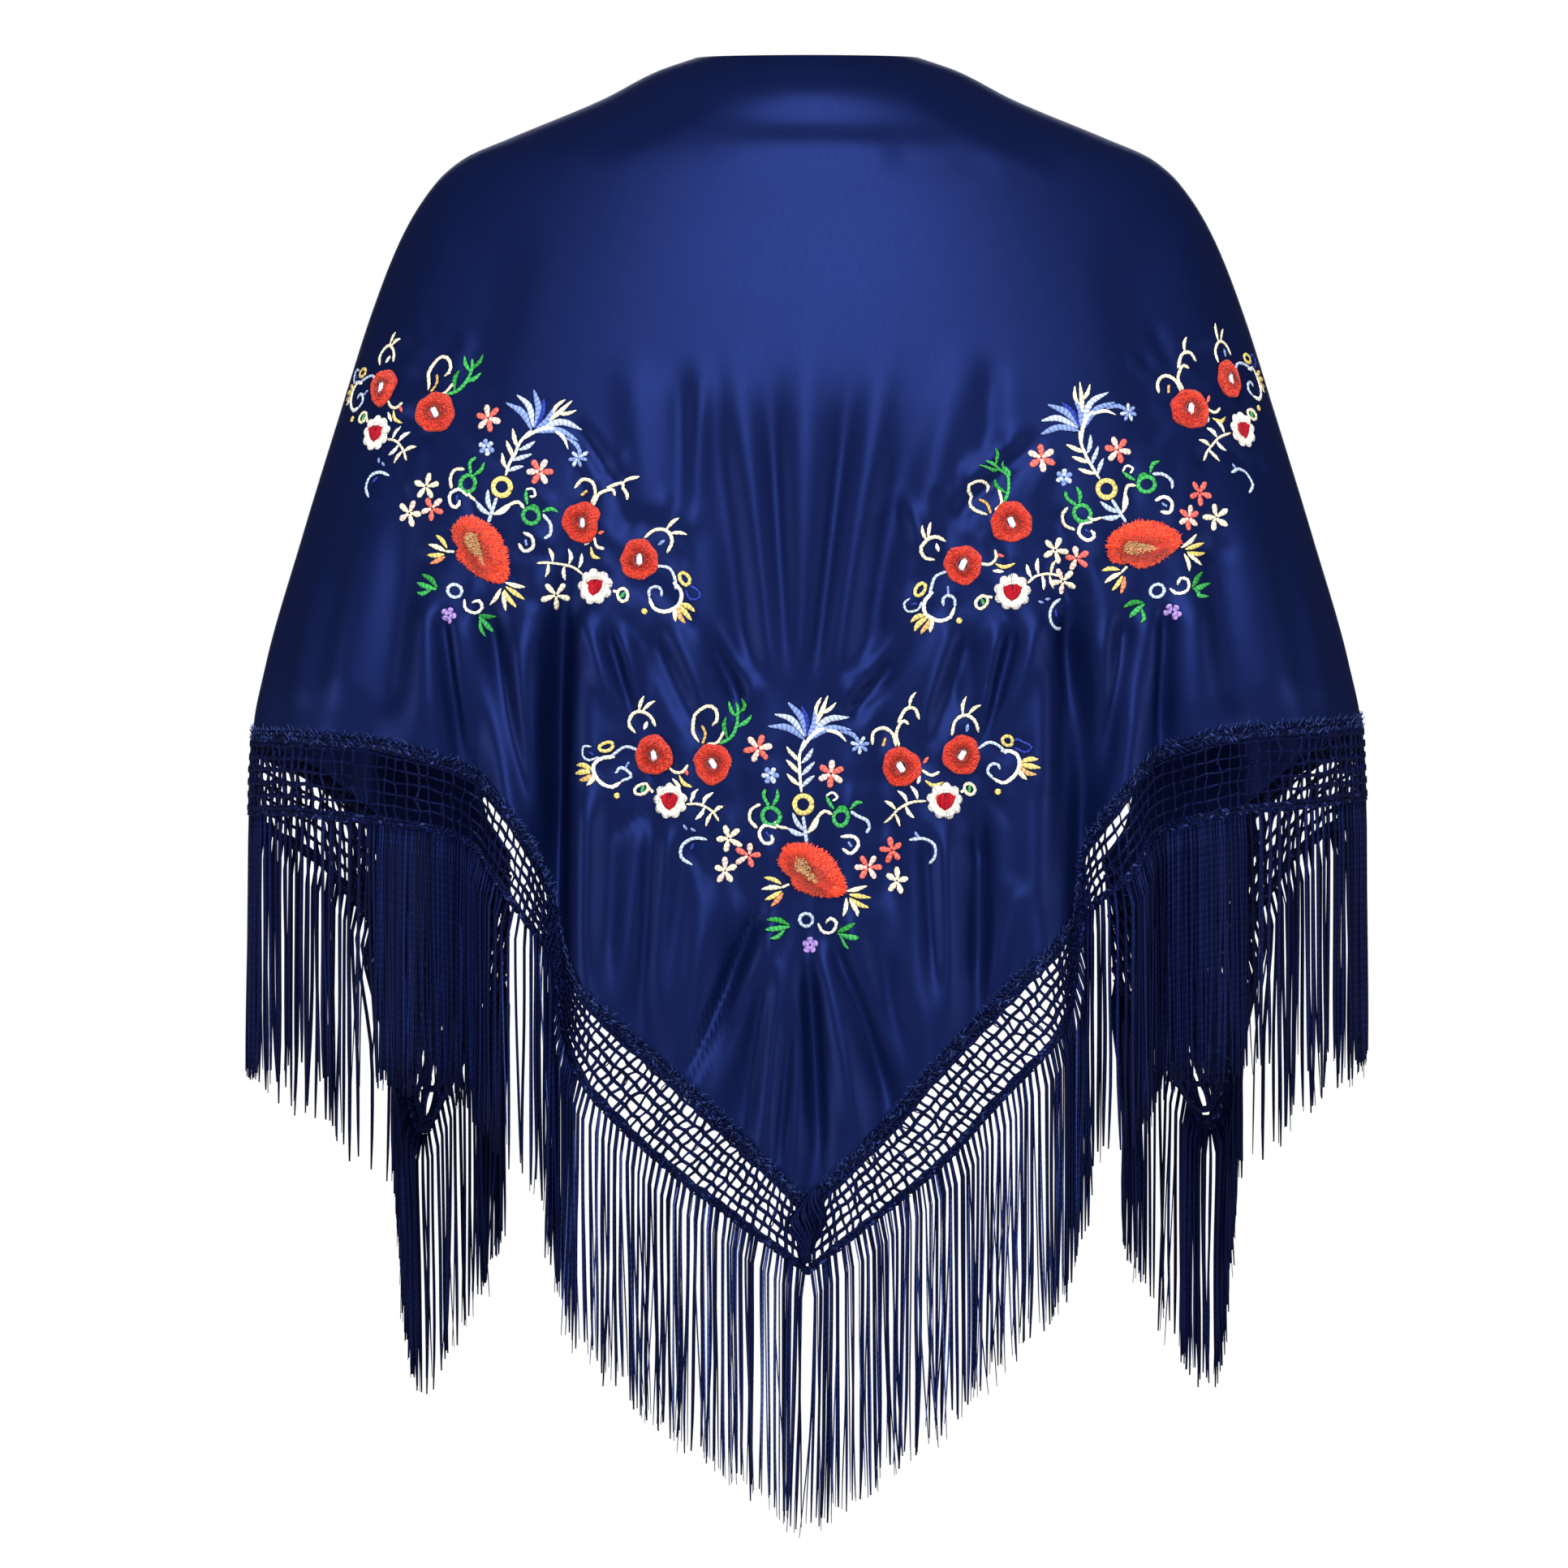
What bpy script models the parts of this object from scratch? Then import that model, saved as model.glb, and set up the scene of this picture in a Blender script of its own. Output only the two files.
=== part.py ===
"""A flamenco shawl as it hangs on its wearer: a satin triangle laid round the shoulders, with
a knotted border along both short edges, a long fringe below it, and embroidered flowers.

Metres, +Z up. The wearer's back faces -Y and the wearer's left arm is at -X. The origin is
the middle of the line on which the cloth bears, between the two shoulders.
A place on the cloth is an azimuth and a drop: the azimuth turns round the wearer from the
middle of the back, 90 degrees at the arm, and the drop is the height lost from the neck edge.
"""

import math
from collections import namedtuple

import bmesh
import bpy
import numpy as np
from mathutils import Matrix
from mathutils.bvhtree import BVHTree

# Driving sizes
NECK_EDGE_HEIGHT = 0.050
SATIN_THICKNESS = 0.0016
KNOT_ROW_THICKNESS = 0.0030
NET_THICKNESS = 0.0018
SEAM_GAP = 0.0006
TOP_KNOTS_SHARE = 0.22
CLOSING_KNOTS_SHARE = 0.13
NET_ROWS = 2
CENTRE_GAP_STATION = 0.008
FRINGE_LENGTH = 0.153
STRAND_WIDTH = 0.0028
STRAND_PITCH = 0.0088
STRAND_STEP = 0.006
STRAND_STAND_OFF = 0.0038
CLOTH_RINGS = 16
RING_CROWDING = 1.5

# Level sections through the worn cloth. Roundness 2 is an ellipse, and more is squarer.
SECTION_COLUMNS = ("drop", "half_width", "back_depth", "front_depth", "roundness")
SECTIONS = (
    (0.000, 0.066, 0.060, 0.030, 2.00),
    (0.008, 0.089, 0.070, 0.045, 2.00),
    (0.025, 0.122, 0.084, 0.060, 2.05),
    (0.048, 0.177, 0.099, 0.074, 2.10),
    (0.060, 0.204, 0.105, 0.081, 2.15),
    (0.075, 0.221, 0.111, 0.088, 2.20),
    (0.105, 0.240, 0.121, 0.101, 2.25),
    (0.150, 0.258, 0.131, 0.116, 2.35),
    (0.210, 0.277, 0.138, 0.129, 2.45),
    (0.285, 0.300, 0.140, 0.139, 2.50),
    (0.360, 0.3215, 0.139, 0.144, 2.50),
    (0.400, 0.3290, 0.138, 0.146, 2.50),
    (0.450, 0.3310, 0.137, 0.146, 2.50),
    (0.600, 0.3310, 0.133, 0.144, 2.50),
    (0.750, 0.3310, 0.129, 0.141, 2.50),
)

# The open front edge: how far round the wearer the cloth reaches at each drop
FRONT_EDGE_COLUMNS = ("drop", "azimuth")
FRONT_EDGE = (
    (0.000, 92.0),
    (0.008, 116.0),
    (0.025, 136.0),
    (0.045, 147.5),
    (0.090, 154.0),
    (0.170, 153.2),
    (0.260, 151.6),
    (0.360, 150.0),
    (0.474, 147.4),
)

# The border of each side from the back point round the arm to the front corner. The cloth's
# edge and the fringe line below it are matched row by row, with the cloth cells in between.
BORDER_COLUMNS = ("cloth_azimuth", "cloth_drop", "fringe_azimuth", "fringe_drop", "cells")
LEFT_BORDER = (
    (0.0, 0.678, 0.0, 0.7195, 0),
    (7.9, 0.632, 13.2, 0.664, 4),
    (13.8, 0.601, 19.2, 0.635, 4),
    (19.1, 0.575, 24.0, 0.604, 3),
    (24.0, 0.548, 26.6, 0.570, 3),
    (26.6, 0.515, 27.8, 0.534, 3),
    (29.1, 0.471, 30.9, 0.507, 4),
    (33.5, 0.438, 35.0, 0.482, 3),
    (40.2, 0.416, 40.2, 0.461, 3),
    (52.0, 0.4045, 52.0, 0.454, 4),
    (70.0, 0.4005, 70.0, 0.4495, 3),
    (90.0, 0.3995, 91.0, 0.449, 3),
    (107.0, 0.410, 110.0, 0.466, 3),
    (120.4, 0.429, 122.5, 0.493, 3),
    (130.4, 0.452, 129.1, 0.520, 4),
    (137.0, 0.488, 131.9, 0.565, 4),
    (139.4, 0.517, 133.4, 0.612, 2),
    (140.5, 0.536, 136.0, 0.642, 1),
    (142.6, 0.518, 139.4, 0.616, 2),
    (145.0, 0.496, 143.1, 0.583, 1),
    (147.4, 0.474, 146.8, 0.549, 2),
)
RIGHT_BORDER = (
    (0.0, 0.678, 0.0, 0.7195, 0),
    (8.8, 0.625, 14.6, 0.652, 4),
    (13.0, 0.596, 19.1, 0.6245, 3),
    (17.3, 0.572, 23.3, 0.600, 3),
    (21.7, 0.546, 27.0, 0.578, 3),
    (26.2, 0.524, 28.7, 0.558, 3),
    (28.8, 0.505, 29.4, 0.535, 1),
    (30.0, 0.470, 30.8, 0.507, 4),
    (33.5, 0.438, 35.2, 0.485, 3),
    (38.5, 0.414, 39.0, 0.463, 3),
    (48.0, 0.3995, 48.0, 0.450, 3),
    (65.0, 0.395, 65.0, 0.4445, 3),
    (90.0, 0.392, 91.0, 0.440, 3),
    (107.0, 0.404, 110.0, 0.460, 3),
    (120.0, 0.425, 121.5, 0.489, 3),
    (130.0, 0.450, 127.0, 0.517, 4),
    (136.5, 0.486, 129.5, 0.562, 4),
    (138.5, 0.516, 131.0, 0.608, 2),
    (139.7, 0.534, 133.4, 0.639, 1),
    (142.3, 0.517, 137.6, 0.614, 2),
    (144.9, 0.495, 141.9, 0.582, 1),
    (147.4, 0.474, 146.0, 0.550, 2),
)

# Folds: a positive depth stands out from the body and a negative one is a trough.
# Each fades in between two drops.
Fold = namedtuple("Fold", ("azimuth", "spread", "depth", "begins", "full"))
FOLDS = (
    (-129.0, 4.5, 0.0060, 0.16, 0.42),
    (-118.0, 4.0, -0.0050, 0.14, 0.40),
    (-104.0, 5.5, 0.0045, 0.18, 0.42),
    (-74.0, 6.0, -0.0035, 0.20, 0.42),
    (-58.0, 5.0, 0.0045, 0.18, 0.40),
    (-44.5, 4.2, 0.0070, 0.20, 0.40),
    (-36.8, 2.5, -0.0130, 0.32, 0.46),
    (-31.5, 2.2, 0.0050, 0.22, 0.44),
    (-26.9, 2.0, -0.0200, 0.22, 0.46),
    (-22.6, 2.2, 0.0070, 0.22, 0.50),
    (-16.6, 1.9, -0.0045, 0.26, 0.50),
    (-12.2, 1.9, 0.0045, 0.24, 0.55),
    (-7.6, 1.8, -0.0035, 0.20, 0.55),
    (-3.6, 1.7, 0.0035, 0.20, 0.58),
    (0.2, 1.6, -0.0035, 0.22, 0.60),
    (4.1, 1.7, 0.0035, 0.20, 0.58),
    (8.2, 1.8, -0.0040, 0.22, 0.55),
    (12.6, 1.9, 0.0045, 0.24, 0.55),
    (17.4, 1.9, -0.0045, 0.26, 0.50),
    (24.3, 2.3, 0.0070, 0.22, 0.48),
    (29.6, 2.0, -0.0200, 0.22, 0.46),
    (34.4, 2.2, 0.0050, 0.22, 0.44),
    (39.5, 2.4, -0.0130, 0.33, 0.46),
    (47.0, 4.0, 0.0070, 0.20, 0.40),
    (60.0, 5.0, 0.0045, 0.18, 0.40),
    (76.0, 6.0, -0.0035, 0.20, 0.42),
    (104.0, 5.5, 0.0045, 0.18, 0.42),
    (117.0, 4.0, -0.0050, 0.14, 0.40),
    (128.0, 4.5, 0.0060, 0.16, 0.42),
)

# Raised embroidered flowers: where each middle lies, its size, and how far it is turned
Flower = namedtuple("Flower", ("name", "azimuth", "drop", "half_width", "half_height", "turn"))
FLOWERS = (
    ("poppy_back", 0.4, 0.482, 0.0215, 0.0165, -28.0),
    ("rose_back_left_outer", -15.9, 0.414, 0.0115, 0.0115, 0.0),
    ("rose_back_left_inner", -9.8, 0.419, 0.0110, 0.0120, 0.0),
    ("rose_back_right_inner", 9.6, 0.421, 0.0115, 0.0115, 0.0),
    ("rose_back_right_outer", 15.9, 0.414, 0.0115, 0.0115, 0.0),
    ("carnation_back_left", -14.1, 0.441, 0.0110, 0.0110, 0.0),
    ("carnation_back_right", 14.1, 0.441, 0.0110, 0.0110, 0.0),
    ("poppy_left", -39.4, 0.293, 0.0215, 0.0160, -50.0),
    ("rose_left_outer_far", -66.5, 0.197, 0.0115, 0.0115, 0.0),
    ("rose_left_outer_near", -52.3, 0.212, 0.0125, 0.0120, 0.0),
    ("carnation_left_far", -64.5, 0.224, 0.0110, 0.0110, 0.0),
    ("rose_left_inner_far", -26.5, 0.277, 0.0120, 0.0125, 0.0),
    ("rose_left_inner_near", -19.0, 0.299, 0.0110, 0.0120, 0.0),
    ("carnation_left_near", -23.8, 0.315, 0.0110, 0.0110, 0.0),
    ("poppy_right", 40.7, 0.290, 0.0215, 0.0150, 12.0),
    ("rose_right_outer_far", 66.5, 0.192, 0.0110, 0.0115, 0.0),
    ("rose_right_outer_near", 54.5, 0.210, 0.0125, 0.0120, 0.0),
    ("carnation_right_far", 66.0, 0.222, 0.0110, 0.0110, 0.0),
    ("rose_right_inner_far", 23.7, 0.277, 0.0120, 0.0120, 0.0),
    ("rose_right_inner_near", 17.4, 0.302, 0.0110, 0.0115, 0.0),
    ("carnation_right_near", 22.8, 0.318, 0.0110, 0.0110, 0.0),
)
FLOWER_LIFT = 0.0010
FLOWER_HEIGHT = 0.0030
FLOWER_SIDES = 8
FLOWER_RINGS = 6
FLOWER_REACH = 0.02

# Steps along the cloth that find its slopes, in degrees and metres
SMALL_TURN = 0.05
SMALL_DROP = 0.0005

# Finish of each kind of piece: colour, roughness
NAVY_SATIN = ((0.012, 0.024, 0.150), 0.38)
NAVY_RAYON = ((0.004, 0.009, 0.062), 0.50)
RED_THREAD = ((0.700, 0.030, 0.010), 0.85)
WHITE_THREAD = ((0.720, 0.690, 0.620), 0.85)


def column(rows, names, name):
    """One named column of a table, as numbers."""
    return np.array([row[names.index(name)] for row in rows], float)


def smooth(xs, ys, at):
    """A curve through a table's rows that never overshoots them."""
    run = np.diff(xs)
    slope = np.diff(ys) / run
    bend = np.zeros(len(xs))
    product = slope[:-1] * slope[1:]
    turning = product > 0
    bend[1:-1][turning] = 2 * product[turning] / (slope[:-1] + slope[1:])[turning]
    bend[0], bend[-1] = slope[0], slope[-1]
    at = np.clip(at, xs[0], xs[-1])
    k = np.clip(np.searchsorted(xs, at, side="right") - 1, 0, len(run) - 1)
    t = (at - xs[k]) / run[k]
    start, end = bend[k] * run[k], bend[k + 1] * run[k]
    rise = ys[k + 1] - ys[k]
    return ys[k] + t * (start + t * (3 * rise - 2 * start - end + t * (start + end - 2 * rise)))


def fade(low, high, value):
    """0 below low and 1 above high, with no corner in between."""
    t = np.clip((value - low) / (high - low), 0, 1)
    return t * t * (3 - 2 * t)


def section(name, drop):
    """A measure of the level section at a drop."""
    drops = column(SECTIONS, SECTION_COLUMNS, "drop")
    return smooth(drops, column(SECTIONS, SECTION_COLUMNS, name), drop)


def front_edge(drop):
    """The azimuth of the open front edge at a drop."""
    drops = column(FRONT_EDGE, FRONT_EDGE_COLUMNS, "drop")
    return smooth(drops, column(FRONT_EDGE, FRONT_EDGE_COLUMNS, "azimuth"), drop)


def fold_relief(azimuth, drop):
    """How far the folds move the cloth away from the body."""
    relief = np.zeros(np.broadcast(azimuth, drop).shape)
    for fold in (Fold(*row) for row in FOLDS):
        reach = np.exp(-(((azimuth - fold.azimuth) / fold.spread) ** 2))
        relief = relief + fold.depth * reach * fade(fold.begins, fold.full, drop)
    return relief


def cloth_point(azimuth, drop):
    """The point of the worn cloth at an azimuth and a drop."""
    azimuth, drop = np.broadcast_arrays(np.asarray(azimuth, float), np.asarray(drop, float))
    width, roundness = section("half_width", drop), section("roundness", drop)
    across, along = np.sin(np.radians(azimuth)), np.cos(np.radians(azimuth))
    depth = np.where(along >= 0, section("back_depth", drop), section("front_depth", drop))
    share = np.clip(1 - np.abs(across) ** roundness, 0, 1) ** (1 / roundness)
    x, y = width * across, -depth * share * np.where(along >= 0, 1, -1)
    out_x = np.sign(x) * np.abs(across) ** (roundness - 1) / width
    out_y = np.sign(y) * share ** (roundness - 1) / depth
    relief = fold_relief(azimuth, drop) / np.hypot(out_x, out_y)
    return np.stack([x + relief * out_x, y + relief * out_y, NECK_EDGE_HEIGHT - drop], axis=-1)


def unit(vectors):
    return vectors / np.linalg.norm(vectors, axis=-1, keepdims=True)


def cloth_normal(azimuth, drop):
    """The direction out of the cloth, away from the body."""
    round_it = cloth_point(azimuth + SMALL_TURN, drop) - cloth_point(azimuth - SMALL_TURN, drop)
    down_it = cloth_point(azimuth, drop + SMALL_DROP) - cloth_point(azimuth, drop - SMALL_DROP)
    return unit(np.cross(down_it, round_it))


def stations(side):
    """The stations of the cloth's lengthwise lines, from the back point to the front corner."""
    rows = LEFT_BORDER if side < 0 else RIGHT_BORDER
    cells = column(rows, BORDER_COLUMNS, "cells").astype(int)
    found = [0.0]
    for k in range(1, len(rows)):
        found += [k - 1 + (i + 1) / cells[k] for i in range(cells[k])]
    return np.array(found)


def border_place(side, station, share):
    """The azimuth and drop between the cloth's edge, at share 0, and the fringe line, at 1."""
    rows = LEFT_BORDER if side < 0 else RIGHT_BORDER
    whole = np.arange(len(rows), dtype=float)
    columns = [column(rows, BORDER_COLUMNS, name) for name in BORDER_COLUMNS[:4]]
    azimuth, drop, fringe_azimuth, fringe_drop = (smooth(whole, c, station) for c in columns)
    azimuth = azimuth + share * (fringe_azimuth - azimuth)
    return side * azimuth, drop + share * (fringe_drop - drop)


def material(name, finish):
    colour, roughness = finish
    made = bpy.data.materials.get(name) or bpy.data.materials.new(name)
    made.use_nodes = True
    shader = made.node_tree.nodes["Principled BSDF"]
    shader.inputs["Base Color"].default_value = (*colour, 1)
    shader.inputs["Roughness"].default_value = roughness
    shader.inputs["Metallic"].default_value = 0.0
    return made


def piece(name, shape, collection, finish_name, finish):
    """A named object from a bmesh, with its material."""
    bmesh.ops.recalc_face_normals(shape, faces=shape.faces)
    bmesh.ops.triangulate(shape, faces=shape.faces)
    mesh = bpy.data.meshes.new(name)
    shape.to_mesh(mesh)
    shape.free()
    mesh.shade_smooth()
    made = bpy.data.objects.new(name, mesh)
    made.data.materials.append(material(finish_name, finish))
    collection.objects.link(made)
    return made


def wall(name, points, normals, thickness, collection, finish_name, finish):
    """A cloth wall of even thickness, centred on rows of points on the worn surface."""
    rows, columns = points.shape[:2]
    outer = points + normals * thickness / 2
    inner = points - normals * thickness / 2
    shape = bmesh.new()
    bmesh.ops.create_grid(shape, x_segments=columns - 1, y_segments=rows - 1, size=1)
    inside = shape.verts.layers.float_vector.new("inside")
    for vertex in shape.verts:
        across = round((vertex.co.x + 1) / 2 * (columns - 1))
        down = round((vertex.co.y + 1) / 2 * (rows - 1))
        vertex.co = outer[down, across]
        vertex[inside] = inner[down, across]
    lining = bmesh.ops.extrude_face_region(shape, geom=shape.faces[:], use_keep_orig=True)
    for vertex in lining["geom"]:
        if isinstance(vertex, bmesh.types.BMVert):
            vertex.co = vertex[inside]
    return piece(name, shape, collection, finish_name, finish)


def satin_cloth(collection):
    """The satin triangle, from the neck edge down to both fringed edges."""
    left_azimuth, left_drop = border_place(-1, stations(-1), 0)
    right_azimuth, right_drop = border_place(1, stations(1), 0)
    azimuths = np.concatenate([left_azimuth[::-1], right_azimuth[1:]])
    drops = np.concatenate([left_drop[::-1], right_drop[1:]])
    share = (np.arange(CLOTH_RINGS + 1) / CLOTH_RINGS) ** RING_CROWDING
    drop = share[:, None] * drops[None, :]
    azimuth = azimuths * front_edge(drop) / front_edge(drops)
    points, normals = cloth_point(azimuth, drop), cloth_normal(azimuth, drop)
    return wall("satin_cloth", points, normals, SATIN_THICKNESS, collection, "navy_satin", NAVY_SATIN)


def border_line(side, share, inset=0.0):
    """The points and normals of a line along one side's border, set down from a seam with
    mitred corners."""
    along = stations(side)
    along[0] = CENTRE_GAP_STATION
    points = cloth_point(*border_place(side, along, share))
    normals = cloth_normal(*border_place(side, along, share))
    steps = unit(np.diff(points, axis=0))
    before = unit(np.cross(np.concatenate([steps[:1], steps]), normals))
    after = unit(np.cross(np.concatenate([steps, steps[-1:]]), normals))
    mitre = (before + after) / (1 + np.sum(before * after, axis=1, keepdims=True))
    return points + side * inset * mitre, normals


def border_wall(name, side, low_share, high_share, rows, thickness, collection):
    """One strip of the knotted border on one side, between two shares of its width."""
    shares = np.linspace(low_share, high_share, rows + 1)
    insets = [SEAM_GAP] + [0.0] * rows
    lines = [border_line(side, share, inset) for share, inset in zip(shares, insets)]
    points, normals = (np.stack(part) for part in zip(*lines))
    return wall(name, points, normals, thickness, collection, "navy_rayon", NAVY_RAYON)


def strand_stations(side):
    """Where each strand starts and ends on the line of stations. The strands are evenly
    spaced as seen from above, so that none touch."""
    along = stations(side)
    points, _ = border_line(side, 1.0)
    steps = np.diff(points, axis=0)
    seen = np.concatenate([[0], np.cumsum(np.linalg.norm(steps[:, :2], axis=1))])
    length = np.concatenate([[0], np.cumsum(np.linalg.norm(steps, axis=1))])
    count = int(seen[-1] / STRAND_PITCH)
    middles = np.interp((np.arange(count) + 0.5) * STRAND_PITCH, seen, length)
    half = STRAND_WIDTH / 2
    return np.interp(middles - half, length, along), np.interp(middles + half, length, along)


def fringe(name, side, collection):
    """The closing row of knots on one side, with the strands that hang from it."""
    starts, ends = strand_stations(side)
    whole = stations(side)
    under_strand = (whole[:, None] > starts) & (whole[:, None] < ends)
    along = np.sort(np.concatenate([whole[~under_strand.any(axis=1)], starts, ends]))

    def spread(line):
        return np.stack([np.interp(along, whole, line[:, axis]) for axis in range(3)], axis=1)

    top_points, top_normals = border_line(side, 1 - CLOSING_KNOTS_SHARE, SEAM_GAP)
    low_points, low_normals = border_line(side, 1.0)
    top, low = spread(top_points), spread(low_points)
    top_out = spread(top_normals) * KNOT_ROW_THICKNESS / 2
    low_out = spread(low_normals) * KNOT_ROW_THICKNESS / 2
    corners = np.stack([top + top_out, low + low_out, low - low_out, top - top_out], axis=1)

    shape = bmesh.new()
    rings = [[shape.verts.new(corner) for corner in ring] for ring in corners]
    roots = []
    for k, (ring, after) in enumerate(zip(rings, rings[1:])):
        for i in range(4):
            j = (i + 1) % 4
            face = shape.faces.new((ring[i], ring[j], after[j], after[i]))
            if i == 1 and along[k] in starts:
                roots.append((k, face))
    shape.faces.new(rings[0][::-1])
    shape.faces.new(rings[-1])
    for k, root in roots:
        strand(shape, root, top[k], low[k], low[k + 1], low_out[k])
    return piece(name, shape, collection, "navy_rayon", NAVY_RAYON)


def strand(shape, root, above, start, end, outward):
    """One strand of the fringe: it leaves its knot along the border, then hangs straight.
    Where the border runs steeply it hangs in front of the knots below it."""
    level = np.array([1, 1, 0])
    across, away = unit((end - start) * level), unit(outward * level)
    hang = (start + end) / 2
    steepness = abs(unit(end - start)[2])
    bend = hang + unit(start - above) * STRAND_STEP + away * STRAND_STAND_OFF * steepness
    tip = bend * level + np.array([0, 0, hang[2] - FRINGE_LENGTH])
    sides = []
    for vertex in root.verts:
        offset = np.array(vertex.co) - hang
        sides.append(np.sign(offset @ (end - start)) * across + np.sign(offset @ outward) * away)
    for centre in (bend, tip):
        root = bmesh.ops.extrude_discrete_faces(shape, faces=[root])["faces"][0]
        for vertex, offset in zip(root.verts, sides):
            vertex.co = centre + offset * STRAND_WIDTH / 2


def flower(kind, satin_faces, collection):
    """One raised flower: a cushion of thread tufts that follows the cloth below it."""
    here = cloth_point(kind.azimuth, kind.drop)
    beside = cloth_point(kind.azimuth + SMALL_TURN, kind.drop)
    below = cloth_point(kind.azimuth, kind.drop + SMALL_DROP)
    round_it = np.linalg.norm(beside - here) / SMALL_TURN
    down_it = np.linalg.norm(below - here) / SMALL_DROP
    outward = cloth_normal(kind.azimuth, kind.drop)
    shape = bmesh.new()
    bmesh.ops.create_uvsphere(shape, u_segments=FLOWER_SIDES, v_segments=FLOWER_RINGS, radius=1)
    bmesh.ops.scale(shape, vec=(kind.half_width, kind.half_height, 1), verts=shape.verts)
    turned = Matrix.Rotation(math.radians(kind.turn), 4, "Z")
    bmesh.ops.transform(shape, matrix=turned, verts=shape.verts)
    for vertex in shape.verts:
        across, up, high = vertex.co
        on_cloth = cloth_point(kind.azimuth + across / round_it, kind.drop - up / down_it)
        seat = satin_faces.ray_cast(on_cloth + outward * FLOWER_REACH, -outward)[0]
        vertex.co = np.array(seat) + outward * (FLOWER_LIFT + FLOWER_HEIGHT * max(high, 0))
    if "carnation" in kind.name:
        return piece(kind.name, shape, collection, "white_thread", WHITE_THREAD)
    return piece(kind.name, shape, collection, "red_thread", RED_THREAD)


def main():
    for old in list(bpy.data.objects):
        bpy.data.objects.remove(old)
    collection = bpy.data.collections.new("flamenco_shawl")
    bpy.context.scene.collection.children.link(collection)
    satin = satin_cloth(collection)
    net_end = 1 - CLOSING_KNOTS_SHARE
    for word, side in (("left", -1), ("right", 1)):
        border_wall(f"top_knots_{word}", side, 0, TOP_KNOTS_SHARE, 1, KNOT_ROW_THICKNESS, collection)
        border_wall(f"net_{word}", side, TOP_KNOTS_SHARE, net_end, NET_ROWS, NET_THICKNESS, collection)
        fringe(f"fringe_{word}", side, collection)
    bpy.context.view_layer.update()
    satin_faces = BVHTree.FromObject(satin, bpy.context.evaluated_depsgraph_get())
    for row in FLOWERS:
        flower(Flower(*row), satin_faces, collection)


main()
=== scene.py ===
# %% [markdown]
# # A flamenco shawl, worn
# A flamenco shawl is one triangle of satin with embroidered sprays of flowers. A knotted net
# and a long fringe run along its two short sides. This lesson builds it as it hangs round the
# shoulders, with nobody inside it, and dresses the plain solids of a CAD model, which is
# loaded first and never moved. Everything is in metres, with Z up, and the wearer's back
# faces along -Y.

# %% Tools, and the CAD model
import math
from collections import namedtuple

import bpy
import numpy as np
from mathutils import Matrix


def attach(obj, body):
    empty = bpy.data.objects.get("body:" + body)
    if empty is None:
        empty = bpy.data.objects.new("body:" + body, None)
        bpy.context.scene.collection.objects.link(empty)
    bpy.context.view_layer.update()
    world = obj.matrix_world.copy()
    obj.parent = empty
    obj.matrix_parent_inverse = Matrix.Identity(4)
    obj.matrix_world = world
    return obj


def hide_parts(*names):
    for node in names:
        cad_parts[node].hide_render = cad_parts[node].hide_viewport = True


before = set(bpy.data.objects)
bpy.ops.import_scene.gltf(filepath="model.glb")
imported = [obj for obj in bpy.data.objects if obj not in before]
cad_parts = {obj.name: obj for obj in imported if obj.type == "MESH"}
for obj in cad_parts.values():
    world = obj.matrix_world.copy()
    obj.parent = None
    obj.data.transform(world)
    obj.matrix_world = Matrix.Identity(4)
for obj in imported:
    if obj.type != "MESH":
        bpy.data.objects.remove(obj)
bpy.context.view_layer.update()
print("solids of the CAD model:", len(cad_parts))

# %% [markdown]
# ## Camera
# The photo looks level at the middle of the back. A photo of a whole shawl could be matched
# with a near camera, but its two sides show almost no perspective, so the camera stands far
# off with a long lens. Its frame is 1932 pixels wide and one of them covers 0.48 mm of cloth.

# %% Camera
NECK_EDGE_HEIGHT = 0.050
PHOTO_PIXELS = 1932
PIXEL = 0.00048
NECK_EDGE_PIXEL = (995, 68)
CAMERA_DISTANCE = 14.0
SHARPEST_PLANE = -0.06
SENSOR_MM = 36.0


def photo_place(pixel_x, pixel_y):
    """The distance across from the wearer's middle and the drop below the neck edge."""
    return (pixel_x - NECK_EDGE_PIXEL[0]) * PIXEL, (pixel_y - NECK_EDGE_PIXEL[1]) * PIXEL


camera_data = bpy.data.cameras.new("studio_camera")
camera_data.sensor_width = SENSOR_MM
camera_data.lens = SENSOR_MM * CAMERA_DISTANCE / (PHOTO_PIXELS * PIXEL)
camera_data.clip_end = 60
camera = bpy.data.objects.new("studio_camera", camera_data)
bpy.context.scene.collection.objects.link(camera)
middle_across, middle_drop = photo_place(PHOTO_PIXELS / 2, PHOTO_PIXELS / 2)
camera.location = (middle_across, SHARPEST_PLANE - CAMERA_DISTANCE, NECK_EDGE_HEIGHT - middle_drop)
camera.rotation_euler = (math.radians(90), 0, 0)
bpy.context.scene.camera = camera
print("lens in mm:", round(camera_data.lens, 1))

# %% [markdown]
# ## Nodes and colours
# Every finish below is a small tree of shader nodes. One helper adds any node, with its
# settings and with values or links for its sockets. Colours are written as the sRGB hex
# values that a colour picker shows, and one function turns them into the linear light that
# Blender reckons in.

# %% Helpers for nodes and colours
def linear(hex_colour):
    """An sRGB colour such as #16236B as linear red, green and blue."""
    shares = [int(hex_colour[k : k + 2], 16) / 255 for k in (1, 3, 5)]
    return tuple(s / 12.92 if s <= 0.04045 else ((s + 0.055) / 1.055) ** 2.4 for s in shares)


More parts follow.
